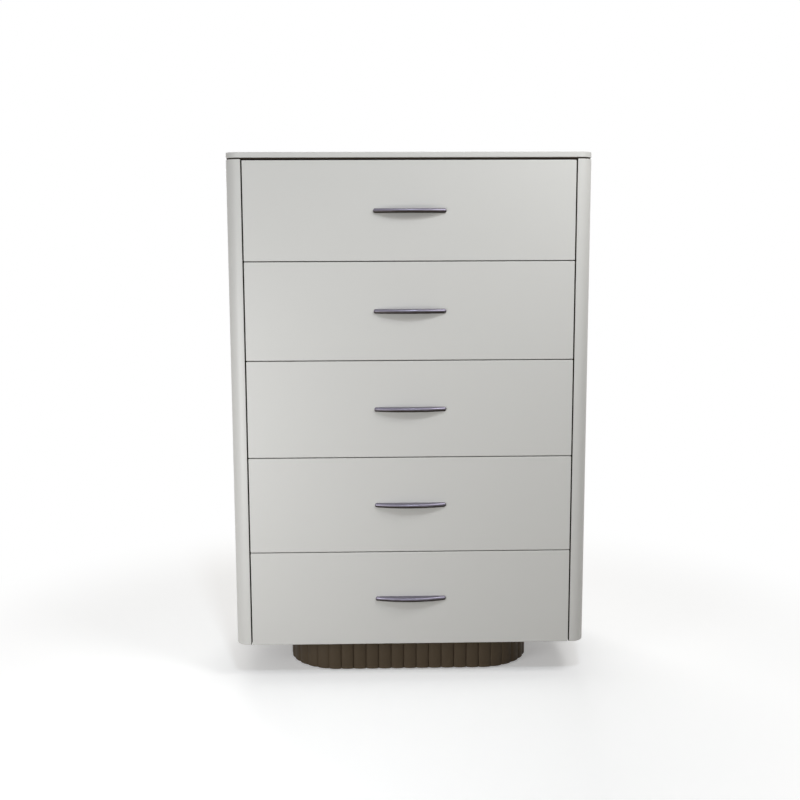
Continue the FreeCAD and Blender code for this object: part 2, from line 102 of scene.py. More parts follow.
class Tree:
    """A node tree, shader or geometry, whose nodes all come from one method."""

    def __init__(self, nodes: bpy.types.NodeTree) -> None:
        """Start from an emptied tree.

        Args:
            nodes: The tree to build in.
        """
        self.nodes = nodes
        nodes.nodes.clear()

    def node(self, kind: str, settings: dict[str, Any] | None = None,
             sockets: dict[str | int, Any] | None = None) -> bpy.types.Node:
        """Add one node.

        Args:
            kind: The node's type.
            settings: Its own settings, set before its sockets.
            sockets: Values or links of its inputs, by name or place.

        Returns:
            The new node.
        """
        made = self.nodes.nodes.new(kind)
        for name, value in (settings or {}).items():
            setattr(made, name, value)
        for key, value in (sockets or {}).items():
            source = value.socket if isinstance(value, Value) else value
            if isinstance(source, bpy.types.NodeSocket):
                self.nodes.links.new(source, made.inputs[key])
            else:
                made.inputs[key].default_value = source
        return made


class Value:
    """A number that a node gives out. Arithmetic on it adds Math nodes."""

    def __init__(self, tree: Tree, socket: bpy.types.NodeSocket) -> None:
        """Wrap an output socket of a tree."""
        self.tree = tree
        self.socket = socket

    def math(self, operation: str, *operands: Any) -> "Value":
        """One Math node.

        Args:
            operation: The Math node's operation.
            operands: Its inputs in order, numbers or values.

        Returns:
            What the node gives out.
        """
        node = self.tree.node("ShaderNodeMath", {"operation": operation}, dict(enumerate(operands)))
        return Value(self.tree, node.outputs[0])

    def __add__(self, other: Any) -> "Value":
        """Self plus other."""
        return self.math("ADD", self, other)

    def __radd__(self, other: Any) -> "Value":
        """Other plus self."""
        return self.math("ADD", other, self)

    def __sub__(self, other: Any) -> "Value":
        """Self minus other."""
        return self.math("SUBTRACT", self, other)

    def __rsub__(self, other: Any) -> "Value":
        """Other minus self."""
        return self.math("SUBTRACT", other, self)

    def __mul__(self, other: Any) -> "Value":
        """Self times other."""
        return self.math("MULTIPLY", self, other)

    def __rmul__(self, other: Any) -> "Value":
        """Other times self."""
        return self.math("MULTIPLY", other, self)

    def __truediv__(self, other: Any) -> "Value":
        """Self over other."""
        return self.math("DIVIDE", self, other)

    def root(self) -> "Value":
        """The square root."""
        return self.math("SQRT", self)

    def fraction(self) -> "Value":
        """What is left after the whole number."""
        return self.math("FRACT", self)

    def absolute(self) -> "Value":
        """Its size without a sign."""
        return self.math("ABSOLUTE", self)

    def larger(self, other: "Value") -> "Value":
        """The larger of the two."""
        return self.math("MAXIMUM", self, other)

    def between(self, low: float, high: float) -> "Value":
        """0 below low and 1 above high, smooth between them."""
        node = self.tree.node("ShaderNodeMapRange", {"interpolation_type": "SMOOTHSTEP"},
                              {0: self, 1: low, 2: high})
        return Value(self.tree, node.outputs[0])


class Surface(Tree):
    """A material's shader tree, with the few patterns that the finishes share."""

    def __init__(self, name: str) -> None:
        """Make an empty material.

        Args:
            name: The finish's name.
        """
        self.material = bpy.data.materials.new(name)
        self.material.use_nodes = True
        super().__init__(self.material.node_tree)
        self.place = self.node("ShaderNodeTexCoord").outputs["Object"]

    def stretched(self, scale: Sequence[float]) -> bpy.types.NodeSocket:
        """Object coordinates, scaled along each axis."""
        mapping = self.node("ShaderNodeMapping", None, {"Vector": self.place, "Scale": tuple(scale)})
        return mapping.outputs[0]

    def noise(self, scale: float, detail: float = 2.0, roughness: float = 0.5,
              place: bpy.types.NodeSocket | None = None) -> Value:
        """A smooth random value from about 0 to 1.

        Args:
            scale: Waves per metre.
            detail: Octaves of finer waves.
            roughness: How strong the finer waves are.
            place: Coordinates, or none for the object's own.

        Returns:
            The noise.
        """
        node = self.node("ShaderNodeTexNoise", None, {
            "Vector": place or self.place, "Scale": scale, "Detail": detail, "Roughness": roughness})
        return Value(self, node.outputs["Fac"])

    def tint(self, factor: Value, low: Colour | bpy.types.NodeSocket, high: Colour) -> bpy.types.NodeSocket:
        """A colour between two.

        Args:
            factor: 0 for the low colour and 1 for the high one.
            low: A colour, or the socket that gives it.
            high: The other colour.

        Returns:
            The colour.
        """
        start = low if isinstance(low, bpy.types.NodeSocket) else (*low, 1.0)
        node = self.node("ShaderNodeMix", {"data_type": "RGBA", "clamp_factor": True},
                         {0: factor, 6: start, 7: (*high, 1.0)})
        return node.outputs[2]

    def mottled(self, shade: Value, colour: Colour, depth: float) -> bpy.types.NodeSocket:
        """A colour that wanders from darker to brighter.

        Args:
            shade: Where it is brighter, from 0 to 1.
            colour: The colour in the middle.
            depth: The share that it gains or loses.

        Returns:
            The colour.
        """
        return self.tint(shade, brighter(colour, 1.0 - depth), brighter(colour, 1.0 + depth))

    def bump(self, height: Value, depth: float, strength: float = 1.0) -> bpy.types.NodeSocket:
        """A normal from a height.

        Args:
            height: The height, in units of depth.
            depth: Metres for a height of 1.
            strength: How much of it shows.

        Returns:
            The normal.
        """
        node = self.node("ShaderNodeBump", None, {
            "Height": height, "Distance": depth, "Strength": strength})
        return node.outputs[0]

    def finish(self, **sockets: Any) -> bpy.types.Material:
        """End the tree in a Principled shader.

        Args:
            sockets: Its inputs, with _ for a space in their names.

        Returns:
            The material.
        """
        named = {name.replace("_", " "): value for name, value in sockets.items()}
        shader = self.node("ShaderNodeBsdfPrincipled", None, named)
        self.node("ShaderNodeOutputMaterial", None, {"Surface": shader.outputs[0]})
        return self.material


# ---------------------------------------------------------------- finishes


def brighter(colour: Colour, factor: float) -> Colour:
    """A colour times a factor."""
    return tuple(min(1.0, channel * factor) for channel in colour)


@dataclass(frozen=True)
class SatinLacquer:
    """Sprayed satin lacquer on fibreboard: a faint orange peel under an even sheen."""

    name: str
    slot: str
    colour: Colour
    roughness: float = 0.44
    coat: float = 0.12
    gloss: float = 0.5
    peel_per_m: float = 260.0
    peel_depth: float = 0.00006
    mottle: float = 0.025
    clouds_per_m: float = 2.3
    specks_per_peel: float = 9.0
    speck_share: float = 0.2
    speck_height: float = 0.15
    rough_cloud: float = 0.06
    rough_speck: float = 0.04
    coat_roughness: float = 0.3

    def material(self) -> bpy.types.Material:
        """Build the lacquer's material."""
        surface = Surface(self.name)
        cloud = surface.noise(self.clouds_per_m, 3.0)
        peel = surface.noise(self.peel_per_m, 2.0, 0.45)
        speck = surface.noise(self.peel_per_m * self.specks_per_peel, 1.0)
        shade = cloud * (1.0 - self.speck_share) + speck * self.speck_share
        colour = surface.mottled(shade, self.colour, self.mottle)
        smoothest = self.roughness - (self.rough_cloud + self.rough_speck) / 2.0
        rough = smoothest + cloud * self.rough_cloud + speck * self.rough_speck
        height = peel + speck * self.speck_height
        return surface.finish(Base_Color=colour, Roughness=rough, Specular_IOR_Level=self.gloss,
                              Coat_Weight=self.coat, Coat_Roughness=self.coat_roughness,
                              Normal=surface.bump(height, self.peel_depth))


@dataclass(frozen=True)
class BrushedMetal:
    """Metal with fine lines along one axis, over a cloudy plating."""

    name: str
    slot: str
    colour: Colour
    roughness: float
    lines: Axis
    metal: float = 1.0
    line_depth: float = 0.000012
    cloud: float = 0.12
    lines_per_m: float = 2600.0
    line_stretch: float = 90.0
    line_share: float = 0.4
    clouds_per_m: float = 45.0
    rough_cloud: float = 0.08
    rough_line: float = 0.06

    def material(self) -> bpy.types.Material:
        """Build the metal's material."""
        surface = Surface(self.name)
        scale = [self.lines_per_m] * 3
        scale[self.lines.value] = self.lines_per_m / self.line_stretch
        line = surface.noise(1.0, 3.0, 0.6, surface.stretched(scale))
        cloud = surface.noise(self.clouds_per_m, 4.0, 0.6)
        shade = cloud * (1.0 - self.line_share) + line * self.line_share
        colour = surface.mottled(shade, self.colour, self.cloud)
        smoothest = self.roughness - (self.rough_cloud + self.rough_line) / 2.0
        rough = smoothest + cloud * self.rough_cloud + line * self.rough_line
        return surface.finish(Base_Color=colour, Roughness=rough, Metallic=self.metal,
                              Normal=surface.bump(line, self.line_depth))


@dataclass(frozen=True)
class MetalWithPaintedShade:
    """Gunmetal with painted shade: dark on faces that look down, lighter on faces that look up, with a noisy
    edge between.
    """

    name: str
    slot: str
    lit_colour: Colour
    painted_shade_colour: Colour
    up_roughness: float = 0.30
    down_roughness: float = 0.48
    metal: float = 0.9
    lines_per_m: float = 2400.0
    line_depth: float = 0.00001
    line_stretch: float = 80.0
    clouds_per_m: float = 60.0
    cloudy_shade_edge: float = 0.35
    lined_shade_edge: float = 0.15
    painted_shade_band: tuple[float, float] = (-0.30, 0.42)
    rough_line: float = 0.05

    def material(self) -> bpy.types.Material:
        """Build the metal's material."""
        surface = Surface(self.name)
        line = surface.noise(1.0, 3.0, 0.6, surface.stretched(
            (self.lines_per_m / self.line_stretch, self.lines_per_m, self.lines_per_m)))
        cloud = surface.noise(self.clouds_per_m, 4.0, 0.6)
        # Painted shade: the colour runs from the dark shade colour on down-facing faces to the lighter lit
        # colour on up-facing ones, as light from above would fall.
        facing = surface.node("ShaderNodeNewGeometry").outputs["Normal"]
        up = Value(surface, surface.node("ShaderNodeSeparateXYZ", None, {0: facing}).outputs[2])
        patchy = (cloud - 0.5) * self.cloudy_shade_edge + (line - 0.5) * self.lined_shade_edge
        lit_share = (up + patchy).between(*self.painted_shade_band)
        colour = surface.tint(lit_share, self.painted_shade_colour, self.lit_colour)
        smoother = self.up_roughness - self.down_roughness
        rough = self.down_roughness + smoother * lit_share + line * self.rough_line
        return surface.finish(Base_Color=colour, Roughness=rough, Metallic=self.metal,
                              Normal=surface.bump(line, self.line_depth))


@dataclass(frozen=True)
class GrainedBoard:
    """Wood-effect facing with long pores along the grain."""

    name: str
    slot: str
    pale: Colour
    dark: Colour
    grain: Axis
    smoothest: float = 0.46
    rings_per_m: float = 34.0
    pore_depth: float = 0.00008
    ring_stretch: float = 14.0
    rings: float = 7.0
    ring_share: float = 0.55
    clouds_per_m: float = 5.0
    pores_across_per_m: float = 900.0
    pores_along_per_m: float = 22.0
    pore_band: tuple[float, float] = (0.58, 0.72)
    pore_share: float = 0.45
    pore_shade: float = 0.62
    rough_pores: float = 0.1

    def material(self) -> bpy.types.Material:
        """Build the board's material."""
        surface = Surface(self.name)
        along = self.grain.value
        broad = [self.rings_per_m] * 3
        broad[along] = self.rings_per_m / self.ring_stretch
        fine = [self.pores_across_per_m] * 3
        fine[along] = self.pores_along_per_m
        figure = surface.noise(1.0, 4.0, 0.55, surface.stretched(broad))
        rings = (figure * self.rings).fraction()
        ring = (rings - 0.5).absolute() * 2.0
        pores = surface.noise(1.0, 3.0, 0.6, surface.stretched(fine))
        pore = pores.between(*self.pore_band)
        shade = ring * self.ring_share + surface.noise(self.clouds_per_m, 3.0) * (1.0 - self.ring_share)
        base = surface.tint(shade, self.dark, self.pale)
        with_pores = surface.tint(pore * self.pore_share, base, brighter(self.dark, self.pore_shade))
        rough = self.smoothest + pores * self.rough_pores
        height = 1.0 - pore
        return surface.finish(Base_Color=with_pores, Roughness=rough,
                              Normal=surface.bump(height, self.pore_depth))


@dataclass(frozen=True)
class Fibreboard:
    """Raw fibreboard: flat, with short fibres and darker flecks."""

    name: str
    slot: str
    colour: Colour
    roughness: float = 0.86
    fibres_per_m: float = 700.0
    flecks_per_m: float = 240.0
    clouds_per_m: float = 9.0
    fleck_band: tuple[float, float] = (0.62, 0.7)
    fleck_share: float = 0.4
    fleck_shade: float = 0.55
    fleck_polish: float = 0.1
    shades: tuple[float, float] = (0.86, 1.12)
    fibre_depth: float = 0.00008

    def material(self) -> bpy.types.Material:
        """Build the board's material."""
        surface = Surface(self.name)
        fibre = surface.noise(self.fibres_per_m, 3.0, 0.65)
        fleck = surface.noise(self.flecks_per_m, 2.0).between(*self.fleck_band)
        cloud = surface.noise(self.clouds_per_m, 3.0)
        base = surface.tint((fibre + cloud) * 0.5, *(brighter(self.colour, shade) for shade in self.shades))
        flecked = surface.tint(fleck * self.fleck_share, base, brighter(self.colour, self.fleck_shade))
        return surface.finish(Base_Color=flecked, Roughness=self.roughness - fleck * self.fleck_polish,
                              Normal=surface.bump(fibre, self.fibre_depth))


@dataclass(frozen=True)
class MouldedRubber:
    """Black rubber with a fine moulded texture."""

    name: str
    slot: str
    colour: Colour
    roughness: float = 0.78
    grains_per_m: float = 1400.0
    grain_depth: float = 0.00005
    dust_per_m: float = 60.0
    dust_band: tuple[float, float] = (0.5, 0.8)
    dust_shade: float = 2.2
    dust_roughness: float = 0.12

    def material(self) -> bpy.types.Material:
        """Build the rubber's material."""
        surface = Surface(self.name)
        grain = surface.noise(self.grains_per_m, 2.0)
        dust = surface.noise(self.dust_per_m, 4.0, 0.7).between(*self.dust_band)
        base = surface.tint(dust, self.colour, brighter(self.colour, self.dust_shade))
        return surface.finish(Base_Color=base, Roughness=self.roughness + dust * self.dust_roughness,
                              Normal=surface.bump(grain, self.grain_depth))


Finish = SatinLacquer | BrushedMetal | MetalWithPaintedShade | GrainedBoard | Fibreboard | MouldedRubber


IVORY = SatinLacquer("ivory_lacquer", "ivory_lacquer", (0.645, 0.64, 0.615))
BRONZE = SatinLacquer("bronze_lacquer", "bronze_lacquer", (0.083, 0.060, 0.036), 0.55, 0.0,
                      0.22, 900.0, 0.00003, 0.10)
# Bronze darkened far below the plinth's as painted shade, for the reveal under the slab and the sheets beside
# the fronts.
SHADE_DARK_LACQUER = SatinLacquer("painted_shade_lacquer", "bronze_lacquer", (0.026, 0.018, 0.011), 0.65, 0.0,
                      0.15, 900.0, 0.00003, 0.10)
# The handles' finish: painted shade on their lower faces and a lighter painted tone on their upper faces.
GUNMETAL = MetalWithPaintedShade("gunmetal", "gunmetal", (0.20, 0.185, 0.235), (0.030, 0.024, 0.018))
SLIDE_STEEL = BrushedMetal("zinc_slides", "slide_steel", (0.60, 0.62, 0.64), 0.36, Axis.Y)
SCREW_STEEL = BrushedMetal("screw_steel", "screw_steel", (0.56, 0.55, 0.52), 0.30, Axis.Z, 1.0,
                           0.000008, 0.08)
CARCASS_ACROSS = GrainedBoard("carcass_board_across", "carcass_board", (0.105, 0.082, 0.062),
                              (0.062, 0.047, 0.035), Axis.X)
CARCASS_UPRIGHT = GrainedBoard("carcass_board_upright", "carcass_board", (0.105, 0.082, 0.062),
                               (0.062, 0.047, 0.035), Axis.Z)
BACK_BOARD = GrainedBoard("back_board", "back_board", (0.115, 0.090, 0.068),
                          (0.072, 0.055, 0.041), Axis.Z, 0.56)
BOX_ACROSS = GrainedBoard("drawer_board_across", "drawer_board", (0.62, 0.50, 0.37),
                          (0.49, 0.375, 0.26), Axis.X, 0.41)
BOX_ALONG = GrainedBoard("drawer_board_along", "drawer_board", (0.62, 0.50, 0.37),
                         (0.49, 0.375, 0.26), Axis.Y, 0.41)
RAW_BOARD = Fibreboard("raw_fibreboard", "carcass_board", (0.36, 0.27, 0.18))
GLIDE_RUBBER = MouldedRubber("glide_rubber", "glide_rubber", (0.030, 0.030, 0.030))


class Finishes:
    """Gives each finish's material, built once."""

    built: dict[str, bpy.types.Material] = {}

    @classmethod
    def of(cls, finish: Finish) -> bpy.types.Material:
        """The material of a finish."""
        if finish.name not in cls.built:
            cls.built[finish.name] = finish.material()
        return cls.built[finish.name]


# ---------------------------------------------------------------- meshes and pieces


def box_of(node: str) -> tuple[Vector, Vector]:
    """The lowest and highest corner of a frame node."""
    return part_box(node)


def front_pitch() -> float:
    """From one drawer front to the next."""
    return box_of("drawer_4_front")[0].z - box_of("drawer_5_front")[0].z


def drawer_name(drawer: int) -> str:
    """The body of a drawer, counted from the top."""
    return f"drawer_{drawer}"


def arc(centre: tuple[float, float], radius: float, start: float, end: float, steps: int) -> Outline:
    """Points on an arc.

    Args:
        centre: Its centre.
        radius: Its radius.
        start: Degrees at its first point, from the first axis towards the second.
        end: Degrees at its last point.
        steps: Straight steps between them.

    Returns:
        The points, both ends included.
    """
    turns = [math.radians(start + (end - start) * step / steps) for step in range(steps + 1)]
    return [(centre[0] + radius * math.cos(turn), centre[1] + radius * math.sin(turn)) for turn in turns]


def mesh_of(made: bmesh.types.BMesh, name: str) -> bpy.types.Mesh:
    """What was modelled as a mesh, with its working copy freed."""
    mesh = bpy.data.meshes.new(name)
    made.to_mesh(mesh)
    made.free()
    return mesh


def solid_of(made: bmesh.types.BMesh, name: str, smooth: bool = False) -> bpy.types.Mesh:
    """End a closed solid.

    Args:
        made: What was modelled, freed here.
        name: The mesh's name.
        smooth: Whether its faces are smooth shaded.

    Returns:
        The mesh, with its normals outwards.
    """
    bmesh.ops.recalc_face_normals(made, faces=made.faces)
    for face in made.faces:
        face.smooth = smooth
    return mesh_of(made, name)


def band(made: bmesh.types.BMesh, first: Sequence[bmesh.types.BMVert],
         second: Sequence[bmesh.types.BMVert]) -> None:
    """Join two closed lines of corners by a band of faces."""
    for index in range(len(first)):
        after = (index + 1) % len(first)
        made.faces.new((first[index], first[after], second[after], second[index]))


def prism(outline: Outline, low: float, high: float, axis: Axis) -> bpy.types.Mesh:
    """A closed solid with one outline all along an axis.

    Args:
        outline: Points on the two other axes, in X, Y, Z order.
        low: Where it starts on the axis.
        high: Where it ends.
        axis: The axis.

    Returns:
        The mesh, smooth shaded, with its normals outwards.
    """
    def corner(point: tuple[float, float], along: float) -> Vector:
        """A point of the outline at a place along the axis."""
        values = list(point)
        values.insert(axis.value, along)
        return Vector(values)

    made = bmesh.new()
    first = [made.verts.new(corner(point, low)) for point in outline]
    last = [made.verts.new(corner(point, high)) for point in outline]
    made.faces.new(first)
    made.faces.new(last)
    band(made, first, last)
    return solid_of(made, "prism", smooth=True)


def rectangle(low: tuple[float, float], high: tuple[float, float]) -> Outline:
    """A rectangle's outline between two corners."""
    return [low, (high[0], low[1]), high, (low[0], high[1])]


def board(low: Vector, high: Vector) -> bpy.types.Mesh:
    """A board between two corners."""
    return prism(rectangle((low.x, low.y), (high.x, high.y)), low.z, high.z, Axis.Z)


def moved(mesh: bpy.types.Mesh, offset: Vector) -> bpy.types.Mesh:
    """A copy of a mesh, moved by an offset."""
    copy = mesh.copy()
    copy.transform(Matrix.Translation(offset))
    return copy


def mirrored(mesh: bpy.types.Mesh) -> bpy.types.Mesh:
    """A copy of a mesh on the other side of the chest, with its normals outwards."""
    copy = mesh.copy()
    copy.transform(Matrix.Diagonal((-1.0, 1.0, 1.0, 1.0)))
    copy.flip_normals()
    return copy


def joined(meshes: Iterable[bpy.types.Mesh]) -> bpy.types.Mesh:
    """Several meshes as one."""
    made = bmesh.new()
    for mesh in meshes:
        made.from_mesh(mesh)
    return mesh_of(made, "joined")


def both_sides(mesh: bpy.types.Mesh) -> bpy.types.Mesh:
    """A mesh and its mirror image as one."""
    return joined([mesh, mirrored(mesh)])


def add_piece(name: str, mesh: bpy.types.Mesh, body: str, finish: Finish, stands_for: Sequence[str],
              ease: float = 0.0, segments: int = 3) -> bpy.types.Object:
    """Put a finished piece on its body.

    Args:
        name: The piece's name.
        mesh: Its mesh, in place.
        body: The body that carries it.
        finish: Its finish.
        stands_for: The frame nodes that it stands for.
        ease: Radius of its rounded edges.
        segments: Steps in that round.

    Returns:
        The piece's object.
    """
    mesh.name = name
    piece = bpy.data.objects.new(name, mesh)
    bpy.context.scene.collection.objects.link(piece)
    mesh.materials.clear()
    mesh.materials.append(Finishes.of(finish))
    if ease > 0.0:
        bevel = piece.modifiers.new("eased_edges", "BEVEL")
        bevel.width = ease
        bevel.segments = segments
        bevel.limit_method = "ANGLE"
        bevel.angle_limit = SHARP_EDGE
        bevel.harden_normals = True
        bevel.use_clamp_overlap = True
    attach(piece, body)
    if stands_for:
        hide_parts(*stands_for)
    LOG.info("%s rides on %s in %s, %d faces", name, body, finish.name, len(mesh.polygons))
    return piece


# ---------------------------------------------------------------- repeated shapes by geometry nodes


class Shape(Tree):
    """A geometry node tree with named inputs, which ends realised and in one material."""

    KINDS = {float: "NodeSocketFloat", int: "NodeSocketInt", bpy.types.Material: "NodeSocketMaterial"}

    def __init__(self, name: str, **inputs: Any) -> None:
        """Make an empty tree with its interface.

        Args:
            name: The tree's name.
            inputs: Its inputs and their values, with _ for a space in their names.
        """
        super().__init__(bpy.data.node_groups.new(name, "GeometryNodeTree"))
        interface = self.nodes.interface
        interface.new_socket("Geometry", in_out="OUTPUT", socket_type="NodeSocketGeometry")
        interface.new_socket("Geometry", in_out="INPUT", socket_type="NodeSocketGeometry")
        self.inputs: dict[str, Any] = {}
        for key, value in inputs.items():
            kind = next(code for known, code in self.KINDS.items() if isinstance(value, known))
            socket = interface.new_socket(key.replace("_", " "), in_out="INPUT", socket_type=kind)
            self.inputs[socket.identifier] = value
        self.entry = self.node("NodeGroupInput")

    def given(self, name: str) -> Value:
        """One of the tree's inputs."""
        return Value(self, self.entry.outputs[name])

    def geometry(self) -> bpy.types.NodeSocket:
        """The mesh that the tree starts from."""
        return self.entry.outputs["Geometry"]

    def vector(self, x: Any = 0.0, y: Any = 0.0, z: Any = 0.0) -> bpy.types.NodeSocket:
        """A vector from three numbers or values."""
        return self.node("ShaderNodeCombineXYZ", None, {0: x, 1: y, 2: z}).outputs[0]

    def placed(self, geometry: bpy.types.NodeSocket, offset: Any,
               turn: Sequence[float] = (0.0, 0.0, 0.0)) -> bpy.types.NodeSocket:
        """Geometry turned, then moved by an offset."""
        node = self.node("GeometryNodeTransform", None, {
            "Geometry": geometry, "Translation": offset, "Rotation": tuple(turn)})
        return node.outputs[0]

    def together(self, *parts: bpy.types.NodeSocket) -> bpy.types.NodeSocket:
        """Several geometries as one."""
        node = self.node("GeometryNodeJoinGeometry")
        for part in reversed(parts):
            self.nodes.links.new(part, node.inputs[0])
        return node.outputs[0]

    def without(self, solid: bpy.types.NodeSocket, cutter: bpy.types.NodeSocket) -> bpy.types.NodeSocket:
        """A solid with a cutter taken out."""
        node = self.node("GeometryNodeMeshBoolean", {"operation": "DIFFERENCE", "solver": "EXACT"},
                         {"Mesh 1": solid})
        self.nodes.links.new(cutter, node.inputs["Mesh 2"])
        return node.outputs[0]

    def end(self, geometry: bpy.types.NodeSocket) -> None:
        """Realise the result and give it the tree's material."""
        real = self.node("GeometryNodeRealizeInstances", None, {0: geometry})
        dressed = self.node("GeometryNodeSetMaterial", None, {
            "Geometry": real.outputs[0], "Material": self.given("Material")})
        self.node("NodeGroupOutput", None, {0: dressed.outputs[0]})

    def baked(self, start: bpy.types.Mesh) -> bpy.types.Mesh:
        """Run the tree once.

        Args:
            start: The mesh that it starts from.

        Returns:
            The plain mesh that comes out.
        """
        carrier = bpy.data.objects.new("carrier", start)
        bpy.context.scene.collection.objects.link(carrier)
        modifier = carrier.modifiers.new("shape", "NODES")
        modifier.node_group = self.nodes
        for identifier, value in self.inputs.items():
            modifier[identifier] = value
        evaluated = carrier.evaluated_get(bpy.context.evaluated_depsgraph_get())
        mesh = bpy.data.meshes.new_from_object(evaluated)
        carrier.modifiers.remove(modifier)
        bpy.data.objects.remove(carrier)
        return mesh


Place = tuple[Vector, Vector]


@dataclass(frozen=True)
class Screw:
    """A cross-head screw, and the tree that sets one at each place."""

    kind: Head
    length: float
    shank_r: float
    head_r: float
    rise: float
    sides: int = 20
    shank_sides: int = 10
    top_share: float = 0.72
    arm_share: float = 0.56
    slot_share: float = 0.17
    depth_share: float = 0.85

    def tree(self) -> Shape:
        """Build the tree that sets the screw at each vertex, along its towards attribute."""
        shape = Shape(f"screw_{self.kind.name.lower()}", Head_Radius=self.head_r, Rise=self.rise,
                      Shank_Radius=self.shank_r, Length=self.length, Seed=7,
                      Material=Finishes.of(SCREW_STEEL))
        radius, rise = shape.given("Head Radius"), shape.given("Rise")
        head = shape.node("GeometryNodeMeshCone", None, {
            "Vertices": self.sides, "Radius Top": radius * self.top_share, "Radius Bottom": radius,
            "Depth": rise})
        size = shape.vector(radius * (2.0 * self.arm_share), radius * (2.0 * self.slot_share),
                            rise * (2.0 * self.depth_share))
        bar = shape.node("GeometryNodeMeshCube", None, {"Size": size}).outputs[0]
        bars = [shape.placed(bar, shape.vector(z=rise), (0.0, 0.0, turn)) for turn in (0.0, math.pi / 2.0)]
        cut = shape.without(shape.without(head.outputs[0], bars[0]), bars[1])
        shank = shape.node("GeometryNodeMeshCylinder", None, {
            "Vertices": self.shank_sides, "Radius": shape.given("Shank Radius"),
            "Depth": shape.given("Length")})
        low = shape.placed(shank.outputs[0], shape.vector(z=shape.given("Length") * -0.5))
        towards = shape.node("GeometryNodeInputNamedAttribute", {"data_type": "FLOAT_VECTOR"},
                             {"Name": "outward"})
        upright = shape.node("FunctionNodeAlignRotationToVector", {"axis": "Z"},
                             {"Vector": towards.outputs[0]})
        chance = shape.node("FunctionNodeRandomValue", {"data_type": "FLOAT"}, {
            "Min": 0.0, "Max": math.pi, "Seed": shape.given("Seed")})
        about = shape.node("FunctionNodeAxisAngleToRotation", None, {
            "Axis": (0.0, 0.0, 1.0), "Angle": chance.outputs[1]})
        turned = shape.node("FunctionNodeRotateRotation", {"rotation_space": "LOCAL"}, {
            0: upright.outputs[0], 1: about.outputs[0]})
        set_in = shape.node("GeometryNodeInstanceOnPoints", None, {
            "Points": shape.geometry(), "Instance": shape.together(cut, low),
            "Rotation": turned.outputs[0]})
        shape.end(set_in.outputs[0])
        return shape

    def at(self, places: Sequence[Place]) -> bpy.types.Mesh:
        """Screws at their places.

        Args:
            places: For each, the point on the surface and the direction that its head faces.

        Returns:
            One mesh with all of them.
        """
        seats = bpy.data.meshes.new("screw_seats")
        seats.from_pydata([point for point, _ in places], [], [])
        outward = seats.attributes.new("outward", "FLOAT_VECTOR", "POINT")
        outward.data.foreach_set("vector", [value for _, way in places for value in way])
        return self.tree().baked(seats)


PANEL_SCREW = Screw(Head.RAISED, 29.0 * MM, 2.0 * MM, 4.0 * MM, 0.7 * MM)
RAIL_SCREW = Screw(Head.SUNK, 49.0 * MM, 2.5 * MM, 4.5 * MM, 0.4 * MM)
SLIDE_SCREW = Screw(Head.PAN, 11.0 * MM, 1.8 * MM, 3.4 * MM, 1.0 * MM)
HANDLE_SCREW = Screw(Head.PAN, 39.0 * MM, 2.0 * MM, 4.0 * MM, 2.4 * MM)


# ---------------------------------------------------------------- top


@dataclass
class Top:
    """The floating slab and the spacer under it, dark bronze darkened further as painted shade in the reveal.
    """

    corner_r: float = 30.0 * MM
    edge_r: float = 1.5 * MM
    spacer_arris: float = 0.3 * MM
    corner_steps: int = 20

    def outline(self, low: Vector, high: Vector, radius: float) -> Outline:
        """A rectangle with round front corners.

        Args:
            low: The board's lowest corner.
            high: Its highest corner.
            radius: Of the two front corners.

        Returns:
            Its points.
        """
        left = arc((low.x + radius, low.y + radius), radius, 180.0, 270.0, self.corner_steps)
        right = arc((high.x - radius, low.y + radius), radius, 270.0, 360.0, self.corner_steps)
        return [*left, *right, (high.x, high.y), (low.x, high.y)]

    def build(self) -> None:
        """Make both boards."""
        low, high = box_of("top_slab")
        slab = prism(self.outline(low, high, self.corner_r), low.z, high.z, Axis.Z)
        add_piece("floating_top_slab", slab, CARCASS, IVORY, ["top_slab"], self.edge_r, 4)
        inner_low, inner_high = box_of("top_spacer_board")
        radius = self.corner_r - (inner_low.x - low.x)
        spacer = prism(self.outline(inner_low, inner_high, radius), inner_low.z, inner_high.z, Axis.Z)
        # The spacer takes the dark lacquer as painted shade in the reveal.
        add_piece("shadow_spacer", spacer, CARCASS, SHADE_DARK_LACQUER, ["top_spacer_board"],
                  self.spacer_arris, 1)


# ---------------------------------------------------------------- carcass


